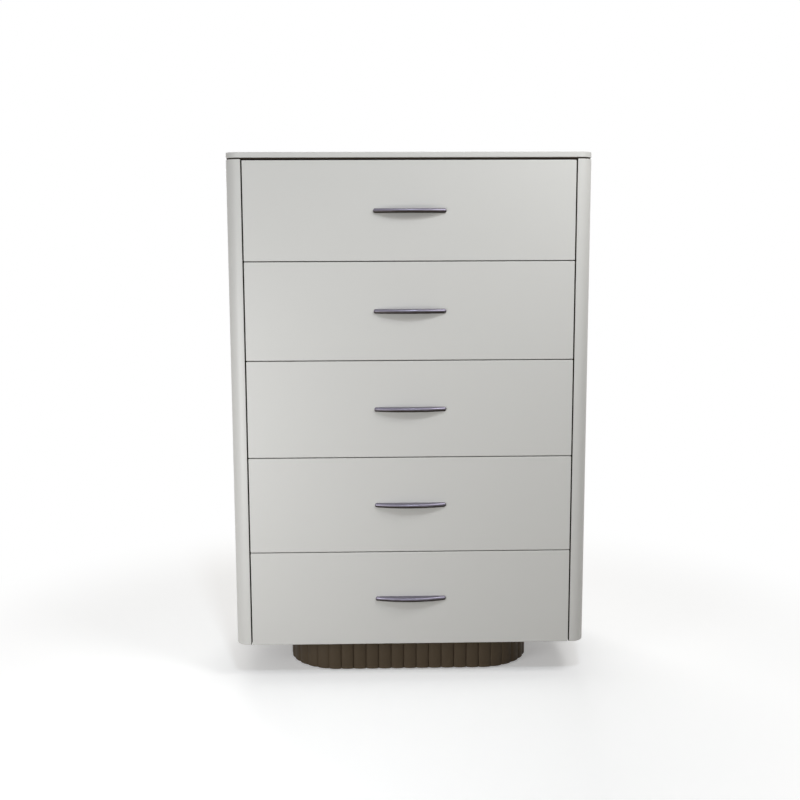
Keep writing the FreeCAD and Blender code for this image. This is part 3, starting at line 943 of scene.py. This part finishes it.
@dataclass
class Carcass:
    """The lacquered skin, the boards inside it and the back."""

    corner_r: float = 30.0 * MM
    arris: float = 1.0 * MM
    board_arris: float = 0.6 * MM
    corner_steps: int = 24
    rail_t: float = 18.0 * MM
    rail_d: float = 60.0 * MM
    inner_t: float = 16.0 * MM
    screw_inset: float = 60.0 * MM
    plinth_corner_r: float = 120.0 * MM
    # Thickness of the dark painted-shade sheet on each post's inner face.
    shade_sheet_t: float = 0.5 * MM

    def corner_post(self) -> bpy.types.Mesh:
        """The right post with its quarter-round corner."""
        low, high = box_of("right_corner_post")
        radius = self.corner_r
        bend = arc((high.x - radius, low.y + radius), radius, 270.0, 360.0, self.corner_steps)
        return prism([(low.x, low.y), *bend, (high.x, high.y), (low.x, high.y)], low.z, high.z, Axis.Z)

    def rails(self) -> bpy.types.Mesh:
        """The cross rails, one behind each gap between fronts."""
        low, high = box_of("cross_rails")
        boards = []
        for drawer in range(1, DRAWERS):
            gap = (box_of(f"drawer_{drawer}_front")[0].z + box_of(f"drawer_{drawer + 1}_front")[1].z) / 2.0
            bottom = gap - self.rail_t / 2.0
            boards.append(board(Vector((low.x, low.y, bottom)),
                                Vector((high.x, high.y, bottom + self.rail_t))))
        return joined(boards)

    def side_screws(self) -> list[Place]:
        """Screws from inside through the right inner panel into the outer one."""
        inner, outer = box_of("inner_side_panels"), box_of("right_corner_post")
        back = box_of("back_panel")[0].y
        rails = box_of("cross_rails")[0].z
        levels = [rails + front_pitch() * step - self.rail_t for step in range(DRAWERS - 1)]
        ys = (outer[1].y + self.screw_inset, back - self.screw_inset)
        x = inner[1].x - self.inner_t
        return [(Vector((x, y, z)), LEFT) for y in ys for z in levels]

    def back_screws(self) -> list[Place]:
        """Screws through the back panel into the panels and boards behind it."""
        low, high = box_of("back_panel")
        side_x = high.x - self.inner_t / 2.0
        half_z, middle_z = (high.z - low.z) / 2.0 - self.screw_inset, (high.z + low.z) / 2.0
        zs = [middle_z + half_z * share for share in (-1.0, -1.0 / 3.0, 1.0 / 3.0, 1.0)]
        places = [(Vector((x, high.y, z)), REAR) for x in (-side_x, side_x) for z in zs]
        board_x = high.x - self.inner_t - 2.0 * self.screw_inset
        ends = (low.z + self.rail_t / 2.0, high.z - self.rail_t / 2.0)
        return places + [(Vector((x, high.y, z)), REAR) for x in (-board_x, 0.0, board_x) for z in ends]

    def slab_screws(self) -> list[Place]:
        """Screws up through the top board into the slab."""
        low, high = box_of("carcass_top_board")
        xs = (low.x + self.screw_inset, 0.0, high.x - self.screw_inset)
        ys = (low.y + self.screw_inset, high.y - self.screw_inset)
        return [(Vector((x, y, low.z)), DOWN) for x in xs for y in ys]

    def plinth_screws(self) -> list[Place]:
        """Screws down through the bottom board into the plinth."""
        top = box_of("bottom_board")[1].z
        low, high = box_of("plinth_reeded_band")
        middle_y, quarter = (low.y + high.y) / 2.0, (high.y - low.y) / 4.0
        run = (high.x - low.x) / 2.0 - self.plinth_corner_r
        xs = [run * share for share in (-1.5, -0.5, 0.5, 1.5)]
        return [(Vector((x, middle_y + side * quarter, top)), UP) for x in xs for side in (-1.0, 1.0)]

    def rail_screws(self) -> list[Place]:
        """Long screws through the right inner panel into the ends of rails and boards."""
        panel, post = box_of("inner_side_panels"), box_of("right_corner_post")
        rail_low, rail_high = box_of("cross_rails")
        front_y = (post[1].y + rail_high.y) / 2.0
        middle = rail_low.z + self.rail_t / 2.0
        spots = [(front_y, middle + front_pitch() * step) for step in range(DRAWERS - 1)]
        for node in ("bottom_board", "carcass_top_board"):
            low, high = box_of(node)
            spots += [(y, (low.z + high.z) / 2.0) for y in (front_y, high.y - self.screw_inset / 2.0)]
        return [(Vector((panel[1].x, y, z)), RIGHT) for y, z in spots]

    def build(self) -> None:
        """Make the skin, then the boards, then the screws."""
        post = self.corner_post()
        add_piece("left_post", mirrored(post), CARCASS, IVORY, ["left_corner_post"], self.arris)
        add_piece("right_post", post, CARCASS, IVORY, ["right_corner_post"], self.arris)
        low, high = box_of("right_corner_post")
        # Painted shade: a thin dark sheet on each post's inner face, standing for the shade in the gap beside
        # the drawer fronts.
        shade_sheet = board(Vector((low.x - self.shade_sheet_t, low.y + 2.0 * self.arris, low.z)),
                       Vector((low.x, high.y, high.z)))
        add_piece("post_shade_sheets", both_sides(shade_sheet), CARCASS, SHADE_DARK_LACQUER, [])
        for side in ("left", "right"):
            add_piece(f"{side}_outer_panel", board(*box_of(f"{side}_side_panel")), CARCASS, IVORY,
                      [f"{side}_side_panel"], self.arris)
        low, high = box_of("inner_side_panels")
        inner = board(Vector((high.x - self.inner_t, low.y, low.z)), high)
        add_piece("inner_panels", both_sides(inner), CARCASS, CARCASS_UPRIGHT,
                  ["inner_side_panels"], self.board_arris, 2)
        for node in ("carcass_top_board", "bottom_board"):
            add_piece(f"{node}_faced", board(*box_of(node)), CARCASS, CARCASS_ACROSS, [node],
                      self.board_arris, 2)
        add_piece("cross_rails_faced", self.rails(), CARCASS, CARCASS_ACROSS, ["cross_rails"],
                  self.board_arris, 2)
        add_piece("back_sheet", board(*box_of("back_panel")), CARCASS, BACK_BOARD, ["back_panel"],
                  self.board_arris, 2)
        side = PANEL_SCREW.at(self.side_screws())
        others = PANEL_SCREW.at(self.back_screws() + self.slab_screws() + self.plinth_screws())
        add_piece("panel_screw_heads", joined([both_sides(side), others]), CARCASS, SCREW_STEEL,
                  ["panel_screws"])
        rail = RAIL_SCREW.at(self.rail_screws())
        add_piece("rail_screw_heads", both_sides(rail), CARCASS, SCREW_STEEL,
                  ["carcass_rail_screws"])


# ---------------------------------------------------------------- plinth


@dataclass
class Plinth:
    """The reeded, round-cornered plinth, the boards inside it and its glides."""

    rise: float = 5.0 * MM
    wall: float = 8.0 * MM
    glue_line: float = 0.2 * MM
    reeds: int = 52
    reed_steps: int = 16
    corner_r: float = 120.0 * MM
    corner_steps: int = 48
    lip: float = 0.8 * MM
    rib_t: float = 18.0 * MM
    overlap: float = 0.2 * MM
    board_arris: float = 0.5 * MM
    glide_r: float = 15.0 * MM
    glide_screw_r: float = 4.5 * MM
    glide_edge: float = 1.0 * MM
    glide_bevel: float = 0.3 * MM
    well_depth: float = 2.4 * MM
    well_flare: float = 0.8 * MM
    well_edge: float = 0.6 * MM
    glide_steps: int = 40

    def __post_init__(self) -> None:
        """Take the plinth's place from the frame."""
        self.low, self.high = box_of("plinth_reeded_band")
        self.middle_y = (self.low.y + self.high.y) / 2.0
        self.half_w = (self.high.x - self.low.x) / 2.0
        self.half_d = (self.high.y - self.low.y) / 2.0

    def outline(self, inset: float) -> Outline:
        """The plinth's outline from the middle of its front.

        Args:
            inset: How far inside the crests of the reeds.

        Returns:
            Its points, closed from the last to the first.
        """
        radius = self.corner_r - inset
        x, y = self.half_w - self.corner_r, self.half_d - self.corner_r
        points = [(0.0, self.middle_y - self.half_d + inset)]
        for corner, (side_x, side_y) in enumerate(((1.0, -1.0), (1.0, 1.0), (-1.0, 1.0), (-1.0, -1.0))):
            centre, start = (side_x * x, self.middle_y + side_y * y), 90.0 * (corner - 1)
            points += arc(centre, radius, start, start + 90.0, self.corner_steps)
        return points

    def pitch(self) -> float:
        """The width of one reed."""
        straight = 4.0 * (self.half_w + self.half_d - 2.0 * self.corner_r)
        return (straight + 2.0 * math.pi * self.corner_r) / self.reeds

    def reed_tree(self) -> Shape:
        """Build the tree that sets a reed at each step round the plinth."""
        shape = Shape("reeds_round_plinth", Reeds=self.reeds, Pitch=self.pitch(), Rise=self.rise,
                      Height=self.high.z - self.low.z, Material=Finishes.of(BRONZE))
        half, rise, height = shape.given("Pitch") * 0.5, shape.given("Rise"), shape.given("Height")
        row = shape.node("GeometryNodeMeshLine", None, {"Count": self.reed_steps + 1})
        step = Value(shape, shape.node("GeometryNodeInputIndex").outputs[0])
        turn = step * (math.pi / self.reed_steps)
        bowed = shape.node("GeometryNodeSetPosition", None, {
            "Geometry": row.outputs[0],
            "Position": shape.vector(half * turn.math("COSINE", turn) * -1.0,
                                     rise - rise * turn.math("SINE", turn))})
        bow = shape.node("GeometryNodeMeshToCurve", None, {"Mesh": bowed.outputs[0]})
        closed = shape.node("GeometryNodeSetSplineCyclic", None, {"Geometry": bow.outputs[0], "Cyclic": True})
        face = shape.node("GeometryNodeFillCurve", {"mode": "NGONS"}, {"Curve": closed.outputs[0]})
        tall = shape.node("GeometryNodeExtrudeMesh", {"mode": "FACES"}, {
            "Mesh": face.outputs[0], "Offset": shape.vector(z=1.0), "Offset Scale": height,
            "Individual": False})
        under = shape.node("GeometryNodeFlipFaces", None, {"Mesh": face.outputs[0]})
        whole = shape.node("GeometryNodeMergeByDistance", None, {
            "Geometry": shape.together(tall.outputs[0], under.outputs[0]), "Distance": 0.00001})
        track = shape.node("GeometryNodeMeshToCurve", None, {"Mesh": shape.geometry()})
        points = shape.node("GeometryNodeCurveToPoints", {"mode": "COUNT"}, {
            "Curve": track.outputs[0], "Count": shape.given("Reeds")})
        upright = shape.node("FunctionNodeAlignRotationToVector", {"axis": "X", "pivot_axis": "Z"}, {
            "Vector": points.outputs["Tangent"]})
        reeds = shape.node("GeometryNodeInstanceOnPoints", None, {
            "Points": points.outputs[0], "Instance": whole.outputs[0], "Rotation": upright.outputs[0]})
        shape.end(reeds.outputs[0])
        return shape

    def reeds_mesh(self) -> bpy.types.Mesh:
        """All the reeds, set round the crest line."""
        line = [Vector((x, y, self.low.z)) for x, y in self.outline(0.0)]
        track = bpy.data.meshes.new("crest_line")
        track.from_pydata(line, [(index, (index + 1) % len(line)) for index in range(len(line))], [])
        return self.reed_tree().baked(track)

    def wall_mesh(self) -> bpy.types.Mesh:
        """The plain band behind the reeds."""
        outer = self.outline(self.rise - self.overlap)
        inner = self.outline(self.rise + self.wall)
        made = bmesh.new()
        rings = [[made.verts.new((x, y, z)) for x, y in line]
                 for line, z in ((outer, self.low.z), (outer, self.high.z), (inner, self.high.z),
                                 (inner, self.low.z))]
        for first, second in zip(rings, rings[1:] + rings[:1]):
            band(made, first, second)
        return solid_of(made, "wall")

    def ribs(self) -> bpy.types.Mesh:
        """The upright ribs between the two boards."""
        low, high = box_of("plinth_ribs")
        half = self.rib_t / 2.0
        xs = (low.x + half, (low.x + high.x) / 2.0, high.x - half)
        return joined([board(Vector((x - half, low.y, low.z)), Vector((x + half, high.y, high.z)))
                       for x in xs])

    def glides(self) -> bpy.types.Mesh:
        """Four round pads, each with a sunk screw well in the middle."""
        low, high = box_of("foot_glides")
        foot, radius, well = low.z, self.glide_r, self.glide_screw_r
        profile = [(0.0, high.z), (radius, high.z), (radius, foot + self.glide_edge),
                   (radius - self.glide_bevel, foot + self.glide_bevel), (radius - self.glide_edge, foot),
                   (well + self.well_flare, foot), (well, foot + self.well_edge),
                   (well, foot + self.well_depth), (0.0, foot + self.well_depth)]
        pad = turned(profile, self.glide_steps)
        xs = (low.x + radius, high.x - radius)
        ys = (low.y + radius, high.y - radius)
        return joined([moved(pad, Vector((x, y, 0.0))) for x in xs for y in ys])

    def build(self) -> None:
        """Make the band, the boards and the glides."""
        reeded = joined([self.reeds_mesh(), self.wall_mesh()])
        add_piece("reeded_band", reeded, CARCASS, BRONZE, ["plinth_reeded_band"], self.lip, 2)
        inset = self.rise + self.wall + self.glue_line
        boards = {"plinth_top_board": "plinth_upper_board", "plinth_base_board": "plinth_lower_board"}
        for node, name in boards.items():
            low, high = box_of(node)
            add_piece(name, prism(self.outline(inset), low.z, high.z, Axis.Z), CARCASS, RAW_BOARD,
                      [node], self.board_arris, 2)
        add_piece("plinth_upright_ribs", self.ribs(), CARCASS, RAW_BOARD, ["plinth_ribs"],
                  self.board_arris, 2)
        add_piece("glide_pads", self.glides(), CARCASS, GLIDE_RUBBER, ["foot_glides"])


def turned(profile: Outline, steps: int) -> bpy.types.Mesh:
    """A solid turned about the upright axis.

    Args:
        profile: Radius and height of each point, from the axis round to the axis.
        steps: Faces round it.

    Returns:
        The mesh, closed, with its normals outwards.
    """
    made = bmesh.new()
    rings = []
    for radius, z in profile:
        if radius == 0.0:
            rings.append([made.verts.new((0.0, 0.0, z))])
            continue
        turns = [2.0 * math.pi * step / steps for step in range(steps)]
        rings.append([made.verts.new((radius * math.cos(t), radius * math.sin(t), z)) for t in turns])
    for first, second in zip(rings, rings[1:]):
        for step in range(steps):
            after = (step + 1) % steps
            corners = [first[step % len(first)], first[after % len(first)],
                       second[after % len(second)], second[step % len(second)]]
            made.faces.new(list(dict.fromkeys(corners)))
    return solid_of(made, "turned")


# ---------------------------------------------------------------- slides


@dataclass
class Channel:
    """One right-hand slide member: a folded steel channel with slots in its web."""

    web_x: float
    edge_x: float
    half_h: float
    y0: float
    y1: float
    sheet: float = 1.2 * MM
    bend_r: float = 1.2 * MM
    slot_h: float = 6.0 * MM
    slot_l: float = 16.0 * MM
    slots: int = 5
    bend_steps: int = 5

    def profile(self) -> Outline:
        """The channel's section, across and up, about its own middle."""
        way = 1.0 if self.edge_x > self.web_x else -1.0
        outer_r, inner_r = self.bend_r, 0.3 * MM
        half = self.half_h

        def bend(x: float, z: float, radius: float, quarter: tuple[float, float]) -> Outline:
            """One rounded corner, x measured from the web towards the edges."""
            return [(self.web_x + way * px, pz) for px, pz in arc((x, z), radius, *quarter, self.bend_steps)]

        depth = abs(self.edge_x - self.web_x)
        inner = self.sheet
        return [
            (self.web_x + way * depth, half),
            *bend(outer_r, half - outer_r, outer_r, (90.0, 180.0)),
            *bend(outer_r, outer_r - half, outer_r, (180.0, 270.0)),
            (self.web_x + way * depth, -half),
            (self.web_x + way * depth, inner - half),
            *bend(inner + inner_r, inner + inner_r - half, inner_r, (270.0, 180.0)),
            *bend(inner + inner_r, half - inner - inner_r, inner_r, (180.0, 90.0)),
            (self.web_x + way * depth, half - inner),
        ]

    def slot_tree(self) -> Shape:
        """Build the tree that cuts a row of slots through the web."""
        spacing = (self.y1 - self.y0) / (self.slots + 1.0)
        shape = Shape("slots_in_web", Slots=self.slots, Spacing=spacing, First=self.y0 + spacing,
                      Web=self.web_x, Height=self.slot_h, Length=self.slot_l,
                      Material=Finishes.of(SLIDE_STEEL))
        start = shape.vector(shape.given("Web"), shape.given("First"), 0.0)
        row = shape.node("GeometryNodeMeshLine", {"mode": "OFFSET"}, {
            "Count": shape.given("Slots"), "Start Location": start,
            "Offset": shape.vector(y=shape.given("Spacing"))})
        cutter = shape.node("GeometryNodeMeshCylinder", None, {
            "Vertices": 20, "Radius": shape.given("Height") * 0.5, "Depth": 6.0 * self.sheet})
        across = shape.placed(cutter.outputs[0], shape.vector(), (0.0, math.pi / 2.0, 0.0))
        long = shape.node("GeometryNodeTransform", None, {
            "Geometry": across,
            "Scale": shape.vector(1.0, shape.given("Length") / shape.given("Height"), 1.0)})
        cutters = shape.node("GeometryNodeInstanceOnPoints", None, {
            "Points": row.outputs[0], "Instance": long.outputs[0]})
        real = shape.node("GeometryNodeRealizeInstances", None, {0: cutters.outputs[0]})
        shape.end(shape.without(shape.geometry(), real.outputs[0]))
        return shape

    def mesh(self) -> bpy.types.Mesh:
        """The slotted channel, about its own middle height."""
        return self.slot_tree().baked(prism(self.profile(), self.y0, self.y1, Axis.Y))


@dataclass
class Slides:
    """The three-section slides of every drawer."""

    sheet: float = 1.2 * MM
    clearance: float = 0.4 * MM
    lip_gap: float = 2.0 * MM
    inner_slot_h: float = 5.0 * MM
    middle_slots: int = 3
    screw_inset: float = 38.0 * MM

    def build(self) -> None:
        """Make the cabinet, middle and drawer members, and the cabinet members' screws."""
        low, high = box_of("slide_cabinet_members")
        box_member = box_of("drawer_1_slide_members")
        middle_member = box_of("drawer_1_middle_members")
        inner_edge = box_of("drawer_1_box_sides")[1].x
        half = (box_member[1].z - box_member[0].z) / 2.0
        middle_half = (middle_member[1].z - middle_member[0].z) / 2.0
        z_middle = {drawer: sum(corner.z for corner in box_of(f"drawer_{drawer}_slide_members")) / 2.0
                    for drawer in range(1, DRAWERS + 1)}
        cabinet_half = middle_half + self.sheet + self.clearance
        lip = inner_edge + self.lip_gap
        cabinet = Channel(high.x, lip, cabinet_half, low.y, high.y).mesh()
        middle = Channel(middle_member[1].x, lip, middle_half, low.y, high.y,
                         slots=self.middle_slots).mesh()
        inner = Channel(inner_edge, box_member[1].x, half, low.y, high.y,
                        slot_h=self.inner_slot_h).mesh()
        ys = (low.y + self.screw_inset, high.y - self.screw_inset)
        cabinet_all, screws = [], []
        for drawer, z in z_middle.items():
            up = Vector((0.0, 0.0, z))
            cabinet_all.append(moved(cabinet, up))
            screws += [(Vector((high.x - self.sheet, y, z)), LEFT) for y in ys]
            member = moved(middle, up)
            add_piece(f"drawer_{drawer}_middle_slides", both_sides(member),
                      f"{drawer_name(drawer)}_middle", SLIDE_STEEL, [f"drawer_{drawer}_middle_members"])
            member = moved(inner, up)
            add_piece(f"drawer_{drawer}_box_slides", both_sides(member),
                      drawer_name(drawer), SLIDE_STEEL, [f"drawer_{drawer}_slide_members"])
        add_piece("cabinet_slides", both_sides(joined(cabinet_all)), CARCASS, SLIDE_STEEL,
                  ["slide_cabinet_members"])
        add_piece("cabinet_slide_screws", both_sides(SLIDE_SCREW.at(screws)), CARCASS, SCREW_STEEL,
                  ["slide_screws"])


# ---------------------------------------------------------------- drawers


@dataclass
class Handle:
    """A crescent visor with a rounded lip and a finger pocket below."""

    length: float = 160.0 * MM
    projection: float = 18.0 * MM
    end_depth: float = 4.0 * MM
    height: float = 10.0 * MM
    end_r: float = 4.2 * MM
    lip_r: float = 4.2 * MM
    low_r: float = 4.2 * MM
    lip_t: float = 0.8 * MM
    roof_t: float = 3.0 * MM
    pocket_half: float = 54.0 * MM
    pocket_fade: float = 5.0 * MM
    bow_steps: int = 64
    end_steps: int = 10
    lip_steps: int = 6

    def plan(self) -> list[tuple[Vector, Vector]]:
        """Points of the lip's outline with the direction inwards, from the right end to the left."""
        half = self.length / 2.0
        sag = self.projection - self.end_depth
        radius = (half * half + sag * sag) / (2.0 * sag)
        centre = Vector((0.0, radius - self.projection))
        # A small circle that touches the bow inside and the end's upright face.
        small_x = half - self.end_r
        small_y = centre.y - math.sqrt((radius - self.end_r) ** 2 - small_x ** 2)
        touch = math.degrees(math.atan2(small_y - centre.y, small_x))
        small = Vector((small_x, small_y))
        points: list[tuple[Vector, Vector]] = [(Vector((half, 0.0)), Vector((-1.0, 0.0)))]
        start = 0.0 if small_y < 0.0 else -math.degrees(math.asin(min(1.0, small_y / self.end_r)))
        for x, y in arc((small.x, small.y), self.end_r, start, touch, self.end_steps):
            points.append((Vector((x, y)), (small - Vector((x, y))).normalized()))
        for x, y in arc((centre.x, centre.y), radius, touch, -90.0, self.bow_steps // 2)[1:]:
            points.append((Vector((x, y)), (centre - Vector((x, y))).normalized()))
        left = [(Vector((-at.x, at.y)), Vector((-way.x, way.y))) for at, way in reversed(points[:-1])]
        return points + left

    def pocket_depth(self, x: float) -> float:
        """How far the pocket goes up at a place along the handle."""
        share = max(0.0, min(1.0, (self.pocket_half - abs(x)) / self.pocket_fade))
        return (self.height - self.roof_t) * math.sqrt(share * (2.0 - share))

    def section(self) -> Outline:
        """Inset and height of the lip's section, from its upper face round to its underside."""
        top = arc((self.lip_r, self.height - self.lip_r), self.lip_r, 90.0, 180.0, self.lip_steps)
        return [*top, *arc((self.low_r, self.low_r), self.low_r, 180.0, 270.0, self.lip_steps)]

    def mesh(self) -> bpy.types.Mesh:
        """The handle with its back on Y = 0 and its underside on Z = 0."""
        made = bmesh.new()
        columns = []
        for at, inwards in self.plan():
            def inset_at(inset: float, z: float) -> tuple[float, float, float]:
                """A point inside the outline, never behind the handle's back."""
                spot = at + inwards * inset
                return (spot.x, min(spot.y, 0.0), z)

            rim = [inset_at(inset, z) for inset, z in self.section()]
            under_x = inset_at(self.low_r + self.lip_t, 0.0)
            depth = self.pocket_depth(under_x[0])
            column = [(rim[0][0], 0.0, self.height), *rim, under_x, (under_x[0], under_x[1], depth),
                      (under_x[0], 0.0, depth)]
            columns.append([made.verts.new(corner) for corner in column])
        for first, second in zip(columns, columns[1:]):
            band(made, first, second)
        for cap in (columns[0], columns[-1]):
            made.faces.new(cap)
        bmesh.ops.remove_doubles(made, verts=made.verts, dist=0.00001)
        bmesh.ops.dissolve_degenerate(made, edges=made.edges, dist=0.000001)
        return solid_of(made, "handle", smooth=True)


@dataclass
class Drawer:
    """One drawer: front, handle, box and the screws that hold them."""

    number: int
    handle: bpy.types.Mesh
    front_arris: float = 1.5 * MM
    box_arris: float = 0.8 * MM
    handle_arris: float = 0.35 * MM
    box_t: float = 15.0 * MM
    handle_screw_x: float = 64.0 * MM
    front_screw_inset: float = 120.0 * MM
    slide_screw_inset: float = 38.0 * MM
    sheet: float = 1.2 * MM

    def node(self, part: str) -> str:
        """The frame's name for one of this drawer's parts."""
        return f"drawer_{self.number}_{part}"

    def box_boards(self) -> tuple[bpy.types.Mesh, bpy.types.Mesh]:
        """The box's two sides, and its two ends housed between them."""
        low, high = box_of(self.node("box_sides"))
        side = board(Vector((high.x - self.box_t, low.y, low.z)), high)
        end_low, end_high = box_of(self.node("box_ends"))
        front_end = board(end_low, Vector((end_high.x, end_low.y + self.box_t, end_high.z)))
        back_end = board(Vector((end_low.x, end_high.y - self.box_t, end_low.z)), end_high)
        return both_sides(side), joined([front_end, back_end])

    def screws(self) -> bpy.types.Mesh:
        """The handle's, the front's and the slides' screws."""
        low, high = box_of(self.node("box_sides"))
        front_low, front_high = box_of(self.node("front"))
        slide_low, slide_high = box_of(self.node("slide_members"))
        inside = low.y + self.box_t
        middle = (front_low.z + front_high.z) / 2.0
        handle = [(Vector((side * self.handle_screw_x, inside, middle)), REAR) for side in (-1.0, 1.0)]
        x = high.x - self.front_screw_inset
        box_middle, quarter = (low.z + high.z) / 2.0, (high.z - low.z) / 4.0
        front = [(Vector((side * x, inside, box_middle + up * quarter)), REAR)
                 for side in (-1.0, 1.0) for up in (-1.0, 1.0)]
        slide_z = (slide_low.z + slide_high.z) / 2.0
        slide = [(Vector((high.x + self.sheet, y, slide_z)), RIGHT)
                 for y in (slide_low.y + self.slide_screw_inset, slide_high.y - self.slide_screw_inset)]
        return joined([HANDLE_SCREW.at(handle), PANEL_SCREW.at(front), both_sides(SLIDE_SCREW.at(slide))])

    def build(self) -> None:
        """Make the drawer's pieces on its body."""
        body = drawer_name(self.number)
        add_piece(f"{body}_lacquered_front", board(*box_of(self.node("front"))), body, IVORY,
                  [self.node("front")], self.front_arris, 4)
        low, high = box_of(self.node("handle"))
        add_piece(f"{body}_crescent_pull", moved(self.handle, Vector((0.0, high.y, low.z))), body,
                  GUNMETAL, [self.node("handle")], self.handle_arris, 2)
        sides, ends = self.box_boards()
        add_piece(f"{body}_side_boards", sides, body, BOX_ALONG, [self.node("box_sides")],
                  self.box_arris, 2)
        add_piece(f"{body}_end_boards", ends, body, BOX_ACROSS, [self.node("box_ends")],
                  self.box_arris, 2)
        add_piece(f"{body}_bottom_panel", board(*box_of(self.node("bottom"))), body, BOX_ALONG,
                  [self.node("bottom")])
        add_piece(f"{body}_screw_heads", self.screws(), body, SCREW_STEEL, [self.node("screws")])


# ---------------------------------------------------------------- stage


@dataclass(frozen=True)
class Lamp:
    """A square soft lamp, unseen by the camera."""

    name: str
    at: tuple[float, float, float]
    target: tuple[float, float, float]
    size: float
    watts: float
    colour: Colour = (1.0, 1.0, 1.0)

    def hang(self) -> None:
        """Hang the lamp where it faces its target."""
        light = bpy.data.lights.new(self.name, "AREA")
        light.size = self.size
        light.energy = self.watts
        light.color = self.colour
        lamp = bpy.data.objects.new(self.name, light)
        lamp.location = self.at
        lamp.visible_camera = False
        lamp.rotation_euler = (Vector(self.target) - Vector(self.at)).to_track_quat("-Z", "Y").to_euler()
        bpy.context.scene.collection.objects.link(lamp)


WHITE = (1.0, 1.0, 1.0, 1.0)
LAMPS = (
    Lamp("window", (-0.95, -1.25, 0.5), (-0.2, -0.2, 0.45), 0.7, 9.0, (0.97, 0.98, 1.0)),
    Lamp("high_softbox", (0.95, -1.0, 1.8), (0.2, -0.2, 1.05), 0.6, 11.0),
    Lamp("ceiling_lamp", (0.15, -2.3, 3.1), (0.0, 0.0, 0.7), 0.22, 20.0, (0.84, 0.92, 1.0)),
    Lamp("back_softbox", (-0.4, 2.8, 2.2), (0.0, 0.0, 0.7), 2.4, 62.0),
)


@dataclass
class Studio:
    """Floor, world, lamps and camera."""

    lens: float = 49.5
    sensor: float = 36.0
    camera_at: tuple[float, float, float] = (-0.0826, -2.618, 0.997)
    yaw: float = -1.41
    pitch: float = 8.13
    roll: float = 0.21
    ambient: float = 0.24
    ambient_colour: Colour = (1.0, 0.965, 0.90)
    clip: tuple[float, float] = (0.05, 100.0)
    floor_half: float = 30.0
    floor_lift: float = 0.30
    floor_colour: Colour = (0.86, 0.86, 0.86)
    floor_bounce: Colour = (0.42, 0.40, 0.38)
    lit_reach: tuple[float, float] = (0.75, 1.35)

    def background_rays(self, tree: Tree) -> Value:
        """1 for rays that see the background: camera, glossy and transmission rays."""
        path = tree.node("ShaderNodeLightPath")
        camera, glossy, transmission = (
            Value(tree, path.outputs[name])
            for name in ("Is Camera Ray", "Is Glossy Ray", "Is Transmission Ray"))
        return camera.larger(glossy).larger(transmission)

    def world(self) -> None:
        """White behind the object, softer as light on it."""
        world = bpy.data.worlds.new("studio_air")
        bpy.context.scene.world = world
        world.use_nodes = True
        tree = Tree(world.node_tree)
        soft = tree.node("ShaderNodeBackground", None, {"Color": (*self.ambient_colour, 1.0),
                                                        "Strength": self.ambient})
        white = tree.node("ShaderNodeBackground", None, {"Color": WHITE, "Strength": 1.0})
        mix = tree.node("ShaderNodeMixShader", None, {
            0: self.background_rays(tree), 1: soft.outputs[0], 2: white.outputs[0]})
        tree.node("ShaderNodeOutputWorld", None, {"Surface": mix.outputs[0]})

    def floor(self) -> None:
        """A pale floor that keeps the chest's shadow."""
        half = self.floor_half
        mesh = bpy.data.meshes.new("studio_floor")
        mesh.from_pydata([(-half, -half, 0), (half, -half, 0), (half, half, 0), (-half, half, 0)], [],
                         [(0, 1, 2, 3)])
        floor = bpy.data.objects.new("studio_floor", mesh)
        bpy.context.scene.collection.objects.link(floor)
        surface = Surface("pale_floor")
        pale = surface.node("ShaderNodeBsdfDiffuse", None, {"Color": (*self.floor_colour, 1.0)})
        bounce = surface.node("ShaderNodeBsdfDiffuse", None, {"Color": (*self.floor_bounce, 1.0)})
        lift = surface.node("ShaderNodeEmission", None, {"Color": WHITE, "Strength": self.floor_lift})
        near = surface.node("ShaderNodeAddShader", None, {0: pale.outputs[0], 1: lift.outputs[0]})
        white = surface.node("ShaderNodeEmission", None, {"Color": WHITE, "Strength": 1.0})
        spot = surface.node("ShaderNodeSeparateXYZ", None, {0: surface.place})
        across, along = Value(surface, spot.outputs[0]), Value(surface, spot.outputs[1])
        away = (across * across + along * along).root().between(*self.lit_reach)
        seen = surface.node("ShaderNodeMixShader", None, {0: away, 1: near.outputs[0], 2: white.outputs[0]})
        mix = surface.node("ShaderNodeMixShader", None, {
            0: self.background_rays(surface), 1: bounce.outputs[0], 2: seen.outputs[0]})
        surface.node("ShaderNodeOutputMaterial", None, {"Surface": mix.outputs[0]})
        mesh.materials.append(surface.material)

    def camera(self) -> None:
        """Stand the camera before the chest, a little left of its middle."""
        data = bpy.data.cameras.new("studio_camera")
        data.lens = self.lens
        data.sensor_width = self.sensor
        data.clip_start, data.clip_end = self.clip
        camera = bpy.data.objects.new("studio_camera", data)
        turn = (Matrix.Rotation(math.radians(self.yaw), 4, "Z")
                @ Matrix.Rotation(math.radians(-self.pitch), 4, "X")
                @ Matrix.Rotation(math.radians(self.roll), 4, "Y")
                @ Matrix.Rotation(math.radians(90.0), 4, "X"))
        camera.matrix_world = Matrix.Translation(self.camera_at) @ turn
        bpy.context.scene.collection.objects.link(camera)
        bpy.context.scene.camera = camera

    def build(self) -> None:
        """Set the whole studio."""
        self.world()
        self.floor()
        for lamp in LAMPS:
            lamp.hang()
        self.camera()
        bpy.context.scene.view_settings.view_transform = "Standard"


# ---------------------------------------------------------------- the whole chest


def main() -> None:
    """Build the chest piece by piece, then the studio."""
    logging.basicConfig(level=logging.INFO, format="%(name)s: %(message)s")
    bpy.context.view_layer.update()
    Top().build()
    Carcass().build()
    Plinth().build()
    Slides().build()
    handle = Handle().mesh()
    for number in range(1, DRAWERS + 1):
        Drawer(number, handle).build()
    Studio().build()


if __name__ == "__main__":
    main()
